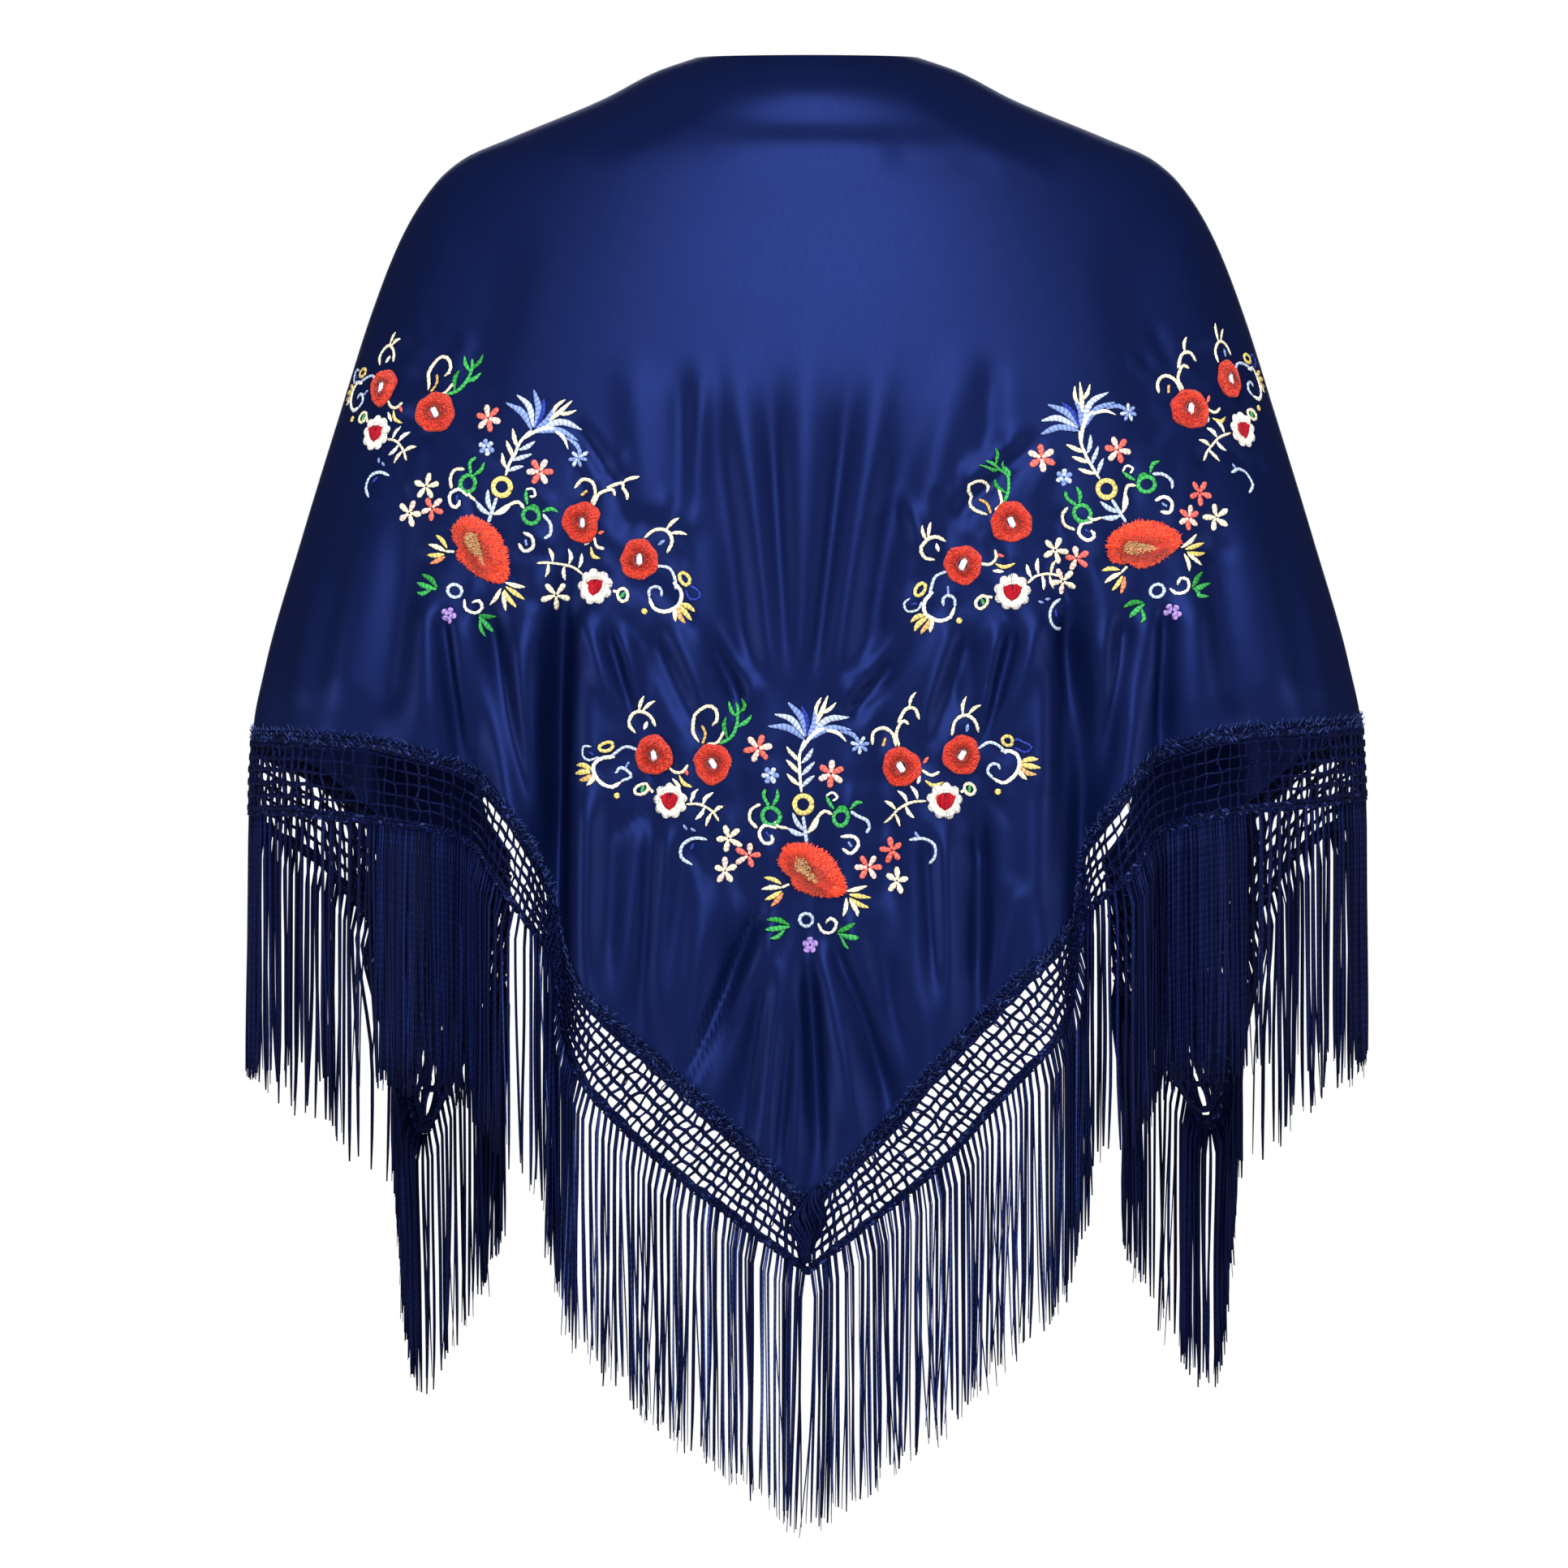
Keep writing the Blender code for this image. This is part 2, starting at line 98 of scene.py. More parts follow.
def add_node(tree, kind, settings=None, inputs=None):
    """Adds a node. Settings are its own options. Inputs are values, or sockets to link."""
    node = tree.nodes.new(kind)
    for name, value in (settings or {}).items():
        setattr(node, name, value)
    for socket, value in (inputs or {}).items():
        if isinstance(value, bpy.types.NodeSocket):
            tree.links.new(value, node.inputs[socket])
        else:
            node.inputs[socket].default_value = value
    return node


def new_material(name):
    """An empty material: its tree, and its output."""
    made = bpy.data.materials.new(name)
    made.use_nodes = True
    made.node_tree.nodes.clear()
    return made, made.node_tree, add_node(made.node_tree, "ShaderNodeOutputMaterial")


print("navy as linear light:", [round(c, 4) for c in linear("#16236B")])

# %% [markdown]
# ## Light, background and floor
# The shawl is photographed in a plain studio: one tall soft light above the camera, so that
# the satin shines all down the middle of the back and darkens where it turns away. A small
# one reaches the neck from above, and weaker ones on the other sides keep those readable.
# The background is white only to the camera, or it would light the cloth's dark edges. The
# floor lies below the view.

# %% Light, background and floor
FLOOR_HEIGHT = -1.40
FLOOR_WIDTH = 6.0
SEEN_BACKGROUND = 1.0
LIGHTING_BACKGROUND = 0.11
WHITE = (1, 1, 1, 1)


def studio_light(name, place, aim, width, height, power):
    """A rectangular soft light that faces a point. Sizes are in metres and power in watts."""
    data = bpy.data.lights.new(name, "AREA")
    data.shape = "RECTANGLE"
    data.size = width
    data.size_y = height
    data.energy = power
    light = bpy.data.objects.new(name, data)
    bpy.context.scene.collection.objects.link(light)
    light.location = place
    towards = [a - b for a, b in zip(aim, place)]
    level = math.hypot(towards[0], towards[1])
    heading = math.atan2(towards[1], towards[0]) - math.pi / 2
    light.rotation_euler = (math.atan2(level, -towards[2]), 0, heading)
    light.visible_camera = False
    return light


studio_light("key_light", (0.08, -2.9, 1.03), (0.0, 0.0, -0.20), 1.3, 2.5, 145)
studio_light("neck_light", (0.08, -1.4, 1.9), (0.03, 0.0, 0.0), 0.5, 0.9, 34)
studio_light("left_fill", (-3.8, -0.9, -0.8), (0.0, 0.0, -0.40), 1.2, 1.5, 62)
studio_light("right_fill", (3.8, -0.9, -0.8), (0.0, 0.0, -0.40), 1.2, 1.5, 50)
studio_light("far_fill", (0.0, 4.5, 0.2), (0.0, 0.0, -0.35), 2.0, 2.0, 70)

world = bpy.data.worlds.new("studio_background")
bpy.context.scene.world = world
world.use_nodes = True
world.node_tree.nodes.clear()
seen_light = add_node(world.node_tree, "ShaderNodeLightPath")
for_camera = add_node(
    world.node_tree, "ShaderNodeBackground", {}, {"Color": WHITE, "Strength": SEEN_BACKGROUND}
)
for_cloth = add_node(
    world.node_tree, "ShaderNodeBackground", {}, {"Color": WHITE, "Strength": LIGHTING_BACKGROUND}
)
either = add_node(world.node_tree, "ShaderNodeMixShader", {}, {0: seen_light.outputs["Is Camera Ray"]})
world.node_tree.links.new(for_cloth.outputs[0], either.inputs[1])
world.node_tree.links.new(for_camera.outputs[0], either.inputs[2])
add_node(world.node_tree, "ShaderNodeOutputWorld", {}, {"Surface": either.outputs[0]})
bpy.context.scene.view_settings.view_transform = "Standard"

floor_mesh = bpy.data.meshes.new("studio_floor")
corner = FLOOR_WIDTH / 2
floor_corners = [(-corner, -corner), (corner, -corner), (corner, corner), (-corner, corner)]
floor_mesh.from_pydata([(x, y, FLOOR_HEIGHT) for x, y in floor_corners], [], [(0, 1, 2, 3)])
floor = bpy.data.objects.new("studio_floor", floor_mesh)
bpy.context.scene.collection.objects.link(floor)
paint, tree, output = new_material("matt_floor_paint")
mottle = add_node(tree, "ShaderNodeTexNoise", {}, {"Scale": 3.0})
tone = add_node(tree, "ShaderNodeMix", {"data_type": "RGBA"}, {0: mottle.outputs["Fac"]})
tone.inputs[6].default_value = (*linear("#E6E6E4"), 1)
tone.inputs[7].default_value = (*linear("#EEEEEC"), 1)
shader = add_node(
    tree, "ShaderNodeBsdfPrincipled", {}, {"Base Color": tone.outputs[2], "Roughness": 0.9}
)
tree.links.new(shader.outputs[0], output.inputs["Surface"])
floor_mesh.materials.append(paint)

# %% [markdown]
# ## The worn form
# Worn cloth could be simulated over a body, but a shawl has to hold one exact outline here,
# so its form is a formula. Any place on it has an azimuth, which turns round the wearer from
# the middle of the back, and a drop below the neck edge. Level sections give the width and
# the depth at each drop, and broad folds stand out from them. The numbers are those that the
# CAD model was made from, but for the open front edge, which curls back just above the hem.
# Drops, widths and depths are in metres, and azimuths in degrees.

# %% Level sections, front edge and border
SECTION_COLUMNS = ("drop", "half_width", "back_depth", "front_depth", "roundness")
SECTIONS = (
    (0.000, 0.066, 0.060, 0.030, 2.00),
    (0.008, 0.089, 0.070, 0.045, 2.00),
    (0.025, 0.122, 0.084, 0.060, 2.05),
    (0.048, 0.177, 0.099, 0.074, 2.10),
    (0.060, 0.204, 0.105, 0.081, 2.15),
    (0.075, 0.221, 0.111, 0.088, 2.20),
    (0.105, 0.240, 0.121, 0.101, 2.25),
    (0.150, 0.258, 0.131, 0.116, 2.35),
    (0.210, 0.277, 0.138, 0.129, 2.45),
    (0.285, 0.300, 0.140, 0.139, 2.50),
    (0.360, 0.3215, 0.139, 0.144, 2.50),
    (0.400, 0.3290, 0.138, 0.146, 2.50),
    (0.450, 0.3310, 0.137, 0.146, 2.50),
    (0.600, 0.3310, 0.133, 0.144, 2.50),
    (0.750, 0.3310, 0.129, 0.141, 2.50),
)
FRONT_EDGE_COLUMNS = ("drop", "azimuth")
FRONT_EDGE = (
    (0.000, 92.0),
    (0.008, 116.0),
    (0.025, 136.0),
    (0.045, 147.5),
    (0.090, 154.0),
    (0.170, 153.2),
    (0.260, 151.6),
    (0.360, 150.0),
    (0.405, 145.6),
    (0.430, 143.8),
    (0.455, 144.8),
    (0.474, 147.4),
)
BORDER_COLUMNS = ("cloth_azimuth", "cloth_drop", "fringe_azimuth", "fringe_drop")
LEFT_BORDER = (
    (0.0, 0.678, 0.0, 0.7195),
    (7.9, 0.632, 13.2, 0.664),
    (13.8, 0.601, 19.2, 0.635),
    (19.1, 0.575, 24.0, 0.604),
    (24.0, 0.548, 26.6, 0.570),
    (26.6, 0.515, 27.8, 0.534),
    (29.1, 0.471, 30.9, 0.507),
    (33.5, 0.438, 35.0, 0.482),
    (40.2, 0.416, 40.2, 0.461),
    (52.0, 0.4045, 52.0, 0.454),
    (70.0, 0.4005, 70.0, 0.4495),
    (90.0, 0.3995, 91.0, 0.449),
    (107.0, 0.410, 110.0, 0.466),
    (120.4, 0.429, 122.5, 0.493),
    (130.4, 0.452, 129.1, 0.520),
    (137.0, 0.488, 131.9, 0.565),
    (139.4, 0.517, 133.4, 0.612),
    (140.5, 0.536, 136.0, 0.642),
    (142.6, 0.518, 139.4, 0.616),
    (145.0, 0.496, 143.1, 0.583),
    (147.4, 0.474, 146.8, 0.549),
)
RIGHT_BORDER = (
    (0.0, 0.678, 0.0, 0.7195),
    (8.8, 0.625, 14.6, 0.652),
    (13.0, 0.596, 19.1, 0.6245),
    (17.3, 0.572, 23.3, 0.600),
    (21.7, 0.546, 27.0, 0.578),
    (26.2, 0.524, 28.7, 0.558),
    (28.8, 0.505, 29.4, 0.535),
    (30.0, 0.470, 30.8, 0.507),
    (33.5, 0.438, 35.2, 0.485),
    (38.5, 0.414, 39.0, 0.463),
    (48.0, 0.3995, 48.0, 0.450),
    (65.0, 0.395, 65.0, 0.4445),
    (90.0, 0.392, 91.0, 0.440),
    (107.0, 0.404, 110.0, 0.460),
    (120.0, 0.425, 121.5, 0.489),
    (130.0, 0.450, 127.0, 0.517),
    (136.5, 0.486, 129.5, 0.562),
    (138.5, 0.516, 131.0, 0.608),
    (139.7, 0.534, 133.4, 0.639),
    (142.3, 0.517, 137.6, 0.614),
    (144.9, 0.495, 141.9, 0.582),
    (147.4, 0.474, 146.0, 0.550),
)


def column(rows, names, name):
    """One named column of a table, as numbers."""
    return np.array([row[names.index(name)] for row in rows], float)


def smooth(xs, ys, at):
    """A curve through a table's rows that never overshoots them."""
    run = np.diff(xs)
    slope = np.diff(ys) / run
    bend = np.zeros(len(xs))
    product = slope[:-1] * slope[1:]
    turning = product > 0
    bend[1:-1][turning] = 2 * product[turning] / (slope[:-1] + slope[1:])[turning]
    bend[0], bend[-1] = slope[0], slope[-1]
    at = np.clip(at, xs[0], xs[-1])
    k = np.clip(np.searchsorted(xs, at, side="right") - 1, 0, len(run) - 1)
    t = (at - xs[k]) / run[k]
    start, end = bend[k] * run[k], bend[k + 1] * run[k]
    rise = ys[k + 1] - ys[k]
    return ys[k] + t * (start + t * (3 * rise - 2 * start - end + t * (start + end - 2 * rise)))


def fade(low, high, value):
    """0 below low and 1 above high, with no corner in between."""
    t = np.clip((value - low) / (high - low), 0, 1)
    return t * t * (3 - 2 * t)


def section(name, drop):
    """A measure of the level section at a drop."""
    drops = column(SECTIONS, SECTION_COLUMNS, "drop")
    return smooth(drops, column(SECTIONS, SECTION_COLUMNS, name), drop)


def front_edge(drop):
    """The azimuth of the open front edge at a drop."""
    drops = column(FRONT_EDGE, FRONT_EDGE_COLUMNS, "drop")
    return smooth(drops, column(FRONT_EDGE, FRONT_EDGE_COLUMNS, "azimuth"), drop)


def border_place(side, station, share):
    """The azimuth and drop between the cloth's edge, at share 0, and the fringe line, at 1.
    A station counts the rows of the border's table, from the back point to the front corner."""
    rows = LEFT_BORDER if side < 0 else RIGHT_BORDER
    whole = np.arange(len(rows), dtype=float)
    columns = [column(rows, BORDER_COLUMNS, name) for name in BORDER_COLUMNS]
    azimuth, drop, fringe_azimuth, fringe_drop = (smooth(whole, c, station) for c in columns)
    azimuth = azimuth + share * (fringe_azimuth - azimuth)
    return side * azimuth, drop + share * (fringe_drop - drop)


print("widest, in mm:", round(2000 * section("half_width", 0.45), 1))

# %% [markdown]
# ## Folds and creases
# The broad folds are those of the CAD model. Satin that hangs from the shoulders and is
# stiffened by embroidery also has finer creases: soft upright ones down the back, slanting
# ones that run from spray to spray, a fan below the lowest spray, and small puckers round
# each flower. They could come from a cloth simulation, but one could not be steered to these
# places, so the main ones are listed one by one and only the puckers are scattered.
#
# A fold has an azimuth and a spread in degrees, a depth in metres, and the drops at which it
# begins and is full. A negative depth is a hollow.

# %% Broad folds
Fold = namedtuple("Fold", ("azimuth", "spread", "depth", "begins", "full"))
FOLDS = (
    (-129.0, 4.5, 0.0060, 0.16, 0.42),
    (-118.0, 4.0, -0.0050, 0.14, 0.40),
    (-104.0, 5.5, 0.0045, 0.18, 0.42),
    (-74.0, 6.0, -0.0035, 0.20, 0.42),
    (-58.0, 5.0, 0.0045, 0.18, 0.40),
    (-44.5, 4.2, 0.0070, 0.20, 0.40),
    (-36.8, 2.5, -0.0130, 0.32, 0.46),
    (-31.5, 2.2, 0.0050, 0.22, 0.44),
    (-26.9, 2.0, -0.0200, 0.22, 0.46),
    (-22.6, 2.2, 0.0070, 0.22, 0.50),
    (-16.6, 1.9, -0.0045, 0.26, 0.50),
    (-12.2, 1.9, 0.0045, 0.24, 0.55),
    (-7.6, 1.8, -0.0035, 0.20, 0.55),
    (-3.6, 1.7, 0.0035, 0.20, 0.58),
    (0.2, 1.6, -0.0035, 0.22, 0.60),
    (4.1, 1.7, 0.0035, 0.20, 0.58),
    (8.2, 1.8, -0.0040, 0.22, 0.55),
    (12.6, 1.9, 0.0045, 0.24, 0.55),
    (17.4, 1.9, -0.0045, 0.26, 0.50),
    (24.3, 2.3, 0.0070, 0.22, 0.48),
    (29.6, 2.0, -0.0200, 0.22, 0.46),
    (34.4, 2.2, 0.0050, 0.22, 0.44),
    (39.5, 2.4, -0.0130, 0.33, 0.46),
    (47.0, 4.0, 0.0070, 0.20, 0.40),
    (60.0, 5.0, 0.0045, 0.18, 0.40),
    (76.0, 6.0, -0.0035, 0.20, 0.42),
    (104.0, 5.5, 0.0045, 0.18, 0.42),
    (117.0, 4.0, -0.0050, 0.14, 0.40),
    (128.0, 4.5, 0.0060, 0.16, 0.42),
)


def fold_relief(azimuth, drop):
    """How far the broad folds move the cloth away from the body."""
    relief = np.zeros(np.broadcast(azimuth, drop).shape)
    for fold in (Fold(*row) for row in FOLDS):
        reach = np.exp(-(((azimuth - fold.azimuth) / fold.spread) ** 2))
        relief = relief + fold.depth * reach * fade(fold.begins, fold.full, drop)
    return relief


print("broad folds:", len(FOLDS))

# %% [markdown]
# Each crease starts and ends at a place in the photo, in pixels. It grows slowly from its
# start and stops more sharply at its end, which for most of them is where stitches hold the
# satin. Width and depth are in mm, and a negative depth is a hollow.

# %% Creases listed on the back
Crease = namedtuple("Crease", ("start_x", "start_y", "end_x", "end_y", "width", "depth"))
CREASES = (
    (840, 118, 1165, 112, 14, 0.8),
    (860, 152, 1190, 160, 12, -0.8),
    (800, 180, 1120, 192, 16, 0.8),
    (905, 208, 1240, 198, 14, -0.6),
    (700, 205, 870, 110, 12, -0.9),
    (1120, 100, 1330, 205, 12, -0.9),
    (640, 250, 560, 560, 20, -1.2),
    (560, 240, 505, 440, 16, 1.2),
    (1375, 255, 1430, 560, 20, -1.2),
    (1440, 240, 1492, 440, 16, 1.2),
    (775, 420, 802, 650, 14, 1.1),
    (836, 430, 850, 650, 10, -1.3),
    (868, 430, 848, 670, 9, 1.3),
    (872, 470, 925, 850, 13, -1.5),
    (900, 400, 956, 860, 12, 1.7),
    (948, 440, 968, 850, 9, -1.5),
    (995, 380, 986, 865, 15, 2.0),
    (1052, 430, 1004, 850, 9, -1.5),
    (1098, 400, 1020, 870, 12, 1.9),
    (1128, 500, 1058, 850, 13, -1.4),
    (1194, 400, 1100, 800, 13, 1.3),
    (1222, 430, 1214, 580, 10, -1.2),
    (702, 515, 768, 610, 6, -1.8),
    (1290, 530, 1170, 645, 7, -2.2),
    (1272, 522, 1182, 600, 8, 1.3),
    (1108, 600, 1140, 690, 6, 1.1),
    (862, 765, 918, 875, 6, -2.2),
    (884, 765, 940, 870, 7, 1.2),
    (1128, 785, 1042, 890, 6, -2.6),
    (1112, 775, 1030, 870, 7, 1.3),
    (537, 942, 530, 735, 12, 1.5),
    (568, 977, 547, 742, 6, -2.9),
    (603, 989, 566, 745, 11, 1.3),
    (666, 1071, 598, 732, 9, -3.8),
    (674, 1065, 640, 760, 11, 1.7),
    (684, 1169, 686, 732, 9, -3.1),
    (783, 915, 712, 750, 8, 1.7),
    (788, 911, 744, 765, 6, -1.9),
    (792, 909, 770, 775, 7, 1.7),
    (876, 940, 800, 775, 8, -1.8),
    (907, 936, 822, 765, 8, 1.5),
    (1459, 942, 1466, 735, 12, 1.5),
    (1432, 953, 1434, 742, 6, -2.7),
    (1402, 971, 1412, 745, 11, 1.3),
    (1357, 1007, 1386, 745, 8, -3.1),
    (1326, 1053, 1346, 760, 11, 1.7),
    (1305, 1166, 1312, 745, 9, -3.1),
    (1221, 932, 1282, 755, 8, 1.7),
    (1208, 930, 1252, 765, 6, -1.9),
    (1201, 916, 1230, 770, 7, 1.7),
    (1140, 934, 1196, 775, 8, -1.8),
    (1117, 936, 1176, 765, 8, 1.5),
    (470, 560, 425, 880, 16, 1.5),
    (508, 600, 482, 890, 12, -1.4),
    (395, 650, 362, 880, 14, 1.2),
    (1520, 560, 1568, 880, 16, 1.5),
    (1488, 600, 1512, 890, 12, -1.4),
    (1598, 650, 1636, 880, 14, 1.2),
    (792, 1323, 902, 1085, 15, 1.5),
    (817, 1387, 946, 1100, 6, -3.4),
    (868, 1400, 956, 1125, 8, 2.0),
    (917, 1446, 944, 1190, 9, -2.2),
    (924, 1479, 970, 1150, 9, 2.0),
    (955, 1496, 972, 1240, 7, -2.0),
    (976, 1514, 985, 1160, 9, 2.2),
    (1018, 1485, 994, 1180, 7, -2.0),
    (1070, 1443, 1002, 1150, 9, 2.2),
    (1109, 1396, 1024, 1140, 8, -2.7),
    (1119, 1364, 1038, 1120, 9, 1.7),
    (1139, 1308, 1076, 1095, 15, 1.3),
    (1152, 1254, 1140, 1010, 8, -2.5),
    (1169, 1291, 1164, 1010, 8, 1.8),
    (1208, 1289, 1206, 990, 8, -2.0),
    (1213, 1245, 1254, 1080, 9, 1.7),
    (1294, 1180, 1285, 960, 10, -1.5),
    (707, 1246, 722, 965, 14, 1.7),
    (740, 1247, 752, 985, 9, -2.0),
    (767, 1261, 794, 1005, 8, 1.7),
    (802, 1293, 824, 1000, 8, 1.8),
    (836, 1315, 848, 1010, 10, -1.6),
)
CREASE_FULLNESS = 2.1


def crease_rows():
    """The listed creases, in metres: both ends, width and depth."""
    rows = []
    for crease in (Crease(*row) for row in CREASES):
        start = photo_place(crease.start_x, crease.start_y)
        end = photo_place(crease.end_x, crease.end_y)
        rows.append((*start, *end, crease.width / 1000, CREASE_FULLNESS * crease.depth / 1000))
    return rows


print("creases on the back:", len(CREASES))

# %% [markdown]
# Every spray has seven raised flowers. Each has a place on the cloth, half sizes in metres
# and a turn in degrees. They are listed here because their stitches draw the satin in, and
# the small puckers that this makes belong to the cloth. Puckers could be listed one by one
# like the creases, but there are many and none matters by itself, so chance scatters them.

# %% Flowers, and the puckers round them
Flower = namedtuple("Flower", ("azimuth", "drop", "half_width", "half_height", "turn"))
FLOWERS = {
    "poppy_back": Flower(0.4, 0.482, 0.0215, 0.0165, -28.0),
    "rose_back_left_outer": Flower(-15.9, 0.414, 0.0115, 0.0115, 0.0),
    "rose_back_left_inner": Flower(-9.8, 0.419, 0.0110, 0.0120, 0.0),
    "rose_back_right_inner": Flower(9.6, 0.421, 0.0115, 0.0115, 0.0),
    "rose_back_right_outer": Flower(15.9, 0.414, 0.0115, 0.0115, 0.0),
    "carnation_back_left": Flower(-14.1, 0.441, 0.0110, 0.0110, 0.0),
    "carnation_back_right": Flower(14.1, 0.441, 0.0110, 0.0110, 0.0),
    "poppy_left": Flower(-39.4, 0.293, 0.0215, 0.0160, -50.0),
    "rose_left_outer_far": Flower(-66.5, 0.197, 0.0115, 0.0115, 0.0),
    "rose_left_outer_near": Flower(-52.3, 0.212, 0.0125, 0.0120, 0.0),
    "carnation_left_far": Flower(-64.5, 0.224, 0.0110, 0.0110, 0.0),
    "rose_left_inner_far": Flower(-26.5, 0.277, 0.0120, 0.0125, 0.0),
    "rose_left_inner_near": Flower(-19.0, 0.299, 0.0110, 0.0120, 0.0),
    "carnation_left_near": Flower(-23.8, 0.315, 0.0110, 0.0110, 0.0),
    "poppy_right": Flower(40.7, 0.290, 0.0215, 0.0150, 12.0),
    "rose_right_outer_far": Flower(66.5, 0.192, 0.0110, 0.0115, 0.0),
    "rose_right_outer_near": Flower(54.5, 0.210, 0.0125, 0.0120, 0.0),
    "carnation_right_far": Flower(66.0, 0.222, 0.0110, 0.0110, 0.0),
    "rose_right_inner_far": Flower(23.7, 0.277, 0.0120, 0.0120, 0.0),
    "rose_right_inner_near": Flower(17.4, 0.302, 0.0110, 0.0115, 0.0),
    "carnation_right_near": Flower(22.8, 0.318, 0.0110, 0.0110, 0.0),
}
PUCKER_SEED = 7
PUCKERS_A_FLOWER = 7
PUCKER_STARTS = (0.010, 0.016)
PUCKER_ENDS = (0.030, 0.060)
PUCKER_DEPTHS = (0.0007, 0.0017)
PUCKER_WIDTHS = (0.004, 0.007)


def pucker_rows():
    """Small creases that fan out round every flower, where the stitches draw the satin in."""
    chance = np.random.default_rng(PUCKER_SEED)
    rows = []
    for flower in FLOWERS.values():
        x = section("half_width", flower.drop) * math.sin(math.radians(flower.azimuth))
        for k in range(PUCKERS_A_FLOWER):
            angle = 2 * math.pi * (k + chance.uniform(-0.3, 0.3)) / PUCKERS_A_FLOWER
            rings = chance.uniform(*PUCKER_STARTS), chance.uniform(*PUCKER_ENDS)
            ends = [(x + r * math.cos(angle), flower.drop - r * math.sin(angle)) for r in rings]
            depth = chance.uniform(*PUCKER_DEPTHS) * (1 if k % 2 else -1)
            rows.append((*ends[0], *ends[1], chance.uniform(*PUCKER_WIDTHS), depth))
    return rows


ALL_CREASES = np.array(crease_rows() + pucker_rows())
print("puckers:", len(ALL_CREASES) - len(CREASES))

# %% [markdown]
# A crease is a soft ridge or hollow along a line, which tapers to nothing at both ends. Its
# profile is a bell curve with a shallow return on either side, because cloth that is pushed
# up in one place sinks a little beside it. The creases die away round the arms. The way out
# of the cloth is found from a small turn in degrees and a small drop in metres.

# %% The cloth's surface
ARM_BEGINS = 68.0
ARM_FULL = 84.0
GROWN_AT = 0.40
SHRINKS_FROM = 0.86
RETURN_DEPTH = 0.7
REACH_IN_WIDTHS = 3
SMALL_TURN = 0.05
SMALL_DROP = 0.0005


def crease_relief(azimuth, drop):
    """How far the finer creases move the cloth away from the body."""
    across = section("half_width", drop) * np.sin(np.radians(azimuth))
    shown = 1 - fade(ARM_BEGINS, ARM_FULL, np.abs(azimuth))
    relief = np.zeros(across.shape)
    for x1, d1, x2, d2, width, depth in ALL_CREASES:
        long_x, long_d = x2 - x1, d2 - d1
        length = math.hypot(long_x, long_d)
        along = ((across - x1) * long_x + (drop - d1) * long_d) / length
        beside = ((across - x1) * long_d - (drop - d1) * long_x) / length
        near = (along > 0) & (along < length) & (np.abs(beside) < REACH_IN_WIDTHS * width)
        share, far = along[near] / length, (beside[near] / width) ** 2
        taper = fade(0, GROWN_AT, share) * (1 - fade(SHRINKS_FROM, 1.0, share))
        relief[near] += depth * taper * (1 - RETURN_DEPTH * far) * np.exp(-far)
    return relief * shown


def cloth_point(azimuth, drop):
    """The point of the worn cloth at an azimuth and a drop."""
    azimuth, drop = np.broadcast_arrays(np.asarray(azimuth, float), np.asarray(drop, float))
    width, roundness = section("half_width", drop), section("roundness", drop)
    across, along = np.sin(np.radians(azimuth)), np.cos(np.radians(azimuth))
    depth = np.where(along >= 0, section("back_depth", drop), section("front_depth", drop))
    share = np.clip(1 - np.abs(across) ** roundness, 0, 1) ** (1 / roundness)
    x, y = width * across, -depth * share * np.where(along >= 0, 1, -1)
    out_x = np.sign(x) * np.abs(across) ** (roundness - 1) / width
    out_y = np.sign(y) * share ** (roundness - 1) / depth
    relief = fold_relief(azimuth, drop) + crease_relief(azimuth, drop)
    relief = relief / np.hypot(out_x, out_y)
    return np.stack([x + relief * out_x, y + relief * out_y, NECK_EDGE_HEIGHT - drop], axis=-1)


def unit(vectors):
    """The same directions, one unit long."""
    return vectors / np.linalg.norm(vectors, axis=-1, keepdims=True)


def cloth_normal(azimuth, drop):
    """The direction out of the cloth, away from the body."""
    round_it = cloth_point(azimuth + SMALL_TURN, drop) - cloth_point(azimuth - SMALL_TURN, drop)
    down_it = cloth_point(azimuth, drop + SMALL_DROP) - cloth_point(azimuth, drop - SMALL_DROP)
    return unit(np.cross(down_it, round_it))


print("middle of the back, 0.2 m down:", np.round(cloth_point(0.0, 0.2), 4))

# %% [markdown]
# ## Two shapes for everything
# The shawl needs only two kinds of shape: a thin wall, for the satin and the flat bands of
# knots, and a swept cord with an oval section, for every thread, knot and stitch. Both add
# their points to a heap, so that thousands of threads become one mesh. The swept cord also
# makes knots: a knot is a short, fat cord. Each point keeps its thread's colour. Each face
# keeps its place for the finish to use: how far along the thread it lies, in metres, and
# what share of the way round, or for a wall how far across and down, in metres.

# %% Heaps of threads
def new_heap():
    """An empty heap of points and faces."""
    return {"points": [], "faces": [], "places": [], "colours": [], "count": 0}


def pile(heap, points, colours, face_blocks, place_blocks):
    """Adds points, and blocks of faces that have the same number of corners."""
    heap["points"].append(points.reshape(-1, 3))
    heap["colours"].append(np.broadcast_to(colours, points.shape).reshape(-1, 3))
    for faces, places in zip(face_blocks, place_blocks):
        heap["faces"].append(faces + heap["count"])
        heap["places"].append(places)
    heap["count"] += points.size // 3


